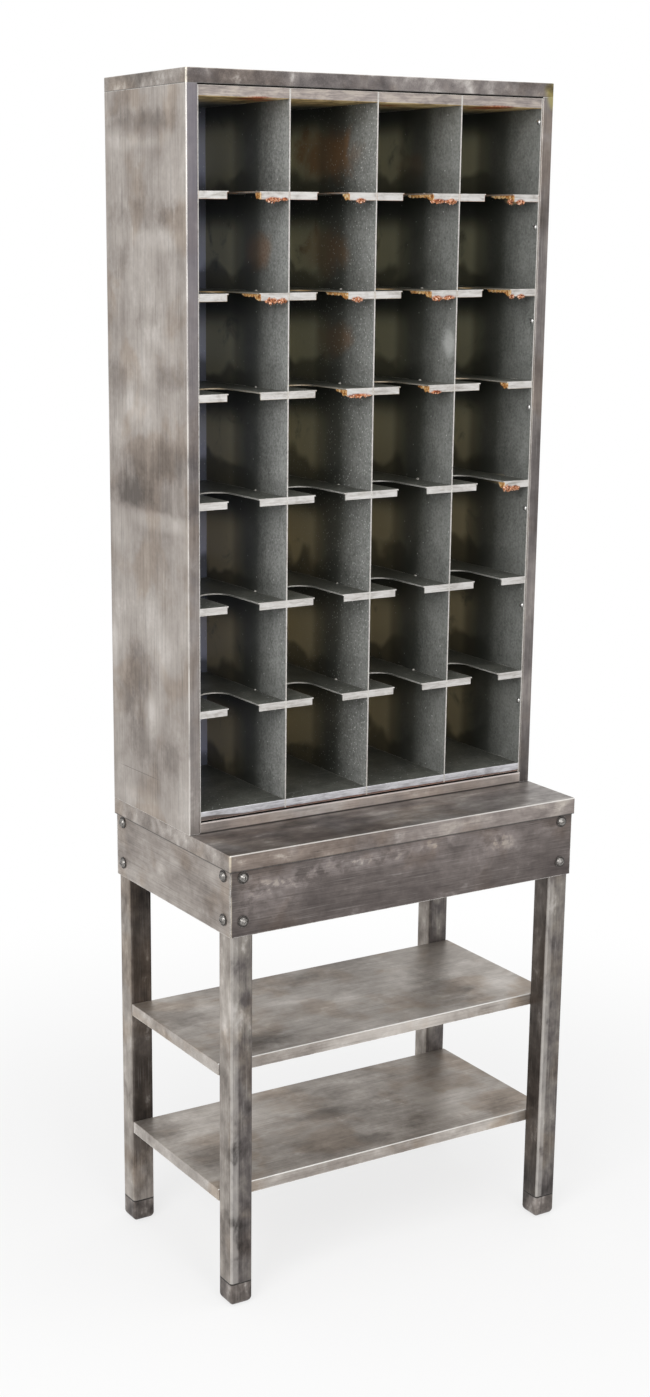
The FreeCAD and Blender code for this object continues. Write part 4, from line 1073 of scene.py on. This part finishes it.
weldLook = {
    "colours": ("4a4640", "b9b6ae", "efece4"),
    "density": 500,
    "contrast": (0.32, 0.66),
    "rough": 0.4,
    "radius": 0.0022,
    "sizes": (0.8, 1.25),  # against the radius
    "side": 0.0016,  # from the divider's middle
    "place": 0.097,  # behind the insert's front
    "long": 1.4,  # length against the radius
    "pole": 0.06,  # radians left off at each pole
    "rings": 6,
    "around": 8,
}


def weldSkins():
    # lumps where shelves meet dividers: circles whose radius follows a sine from pole to pole
    look = weldLook
    sides = (-look["side"], look["side"])
    rows = [(middle + side, level) for level in levels[1:7] for middle in dividers for side in sides]
    middle, level = np.array(rows).T[:, :, None, None]
    size = look["radius"] * random.uniform(*look["sizes"], (len(rows), 1, 1))
    rise = np.linspace(look["pole"], math.pi - look["pole"], look["rings"])[:, None]
    angle = np.linspace(0, 2 * math.pi, look["around"], endpoint=False)
    x = middle + size * np.sin(rise) * np.cos(angle)
    y = insertFront + look["place"] + size * look["long"] * np.sin(rise) * np.sin(angle)
    return x, y, level - size * np.cos(rise)


trims = [
    ("rust_crusts", crustSkins(), crustLook),
    ("notch_ears", earSkins(), earLook),
    ("shelf_welds", weldSkins(), weldLook),
]
for name, surface, look in trims:
    addPiece(name, surface, roughFinish(name + "_finish", look))
print("rust, ears and welds made")

stageLook = {
    "floorSize": 60,
    "floorShade": 0.86,  # of the floor itself
    "floorGlow": 0.72,  # share of plain white that the camera sees beside the object
    "glowRise": (0.5, 1.8),  # distances between which that share rises to 1
    "worldLight": 0.5,
    "key": ((-2.9, -1.9, 2.6), 1.8, 70),  # place, size and power of a lamp
    "fill": ((-0.5, -4.2, 2), 1.8, 50),
    "top": ((0.2, -0.6, 4.2), 2.4, 40),
    "aim": (0, 0, 1.1),
}


def seenDirectly(graph):
    # 1 for rays straight from the camera, or by a mirror or through glass
    names = ("Camera", "Glossy", "Transmission")
    rays = [graph.node("ShaderNodeLightPath", {}, {}, "Is %s Ray" % name) for name in names]
    return rays[0].most(rays[1]).most(rays[2])


def makeFloor():
    half = stageLook["floorSize"] / 2
    mesh = bpy.data.meshes.new("floor")
    corners = [(-half, -half, 0), (half, -half, 0), (half, half, 0), (-half, half, 0)]
    mesh.from_pydata(corners, [], [(0, 1, 2, 3)])
    floor = addObject("floor", mesh)
    made = Finish("floorWhite")
    shade = stageLook["floorShade"]
    plain = made.node("ShaderNodeBsdfDiffuse", {}, {"Color": (shade, shade, shade, 1)})
    glow = made.node("ShaderNodeEmission", {}, {"Color": (1, 1, 1, 1), "Strength": 1})
    distance = made.vector("LENGTH", made.place, out="Value")
    least = stageLook["floorGlow"]
    glowShare = made.smooth(distance, *stageLook["glowRise"]) * (1 - least) + least
    mixed = made.node("ShaderNodeMixShader", {}, {0: seenDirectly(made) * glowShare, 1: plain, 2: glow})
    made.node("ShaderNodeOutputMaterial", {}, {"Surface": mixed})
    mesh.materials.append(made.material)


def makeWorld():
    world = bpy.data.worlds.new("studio")
    world.use_nodes = True
    graph = Graph(world.node_tree)
    least = stageLook["worldLight"]
    level = seenDirectly(graph) * (1 - least) + least
    glow = graph.node("ShaderNodeBackground", {}, {"Color": (1, 1, 1, 1), "Strength": level})
    graph.node("ShaderNodeOutputWorld", {}, {"Surface": glow})
    bpy.context.scene.world = world


def makeLamp(name):
    place, size, power = stageLook[name]
    data = bpy.data.lights.new(name + "Lamp", "AREA")
    data.shape = "SQUARE"
    data.size = size
    data.energy = power
    lamp = addObject(name + "Lamp", data)
    spot = Vector(place)
    lamp.location = spot
    lamp.rotation_euler = (Vector(stageLook["aim"]) - spot).to_track_quat("-Z", "Y").to_euler()
    lamp.visible_camera = False


makeFloor()
makeWorld()
for lampName in ("key", "fill", "top"):
    makeLamp(lampName)
bpy.context.scene.view_settings.view_transform = "Standard"
print("stage made")
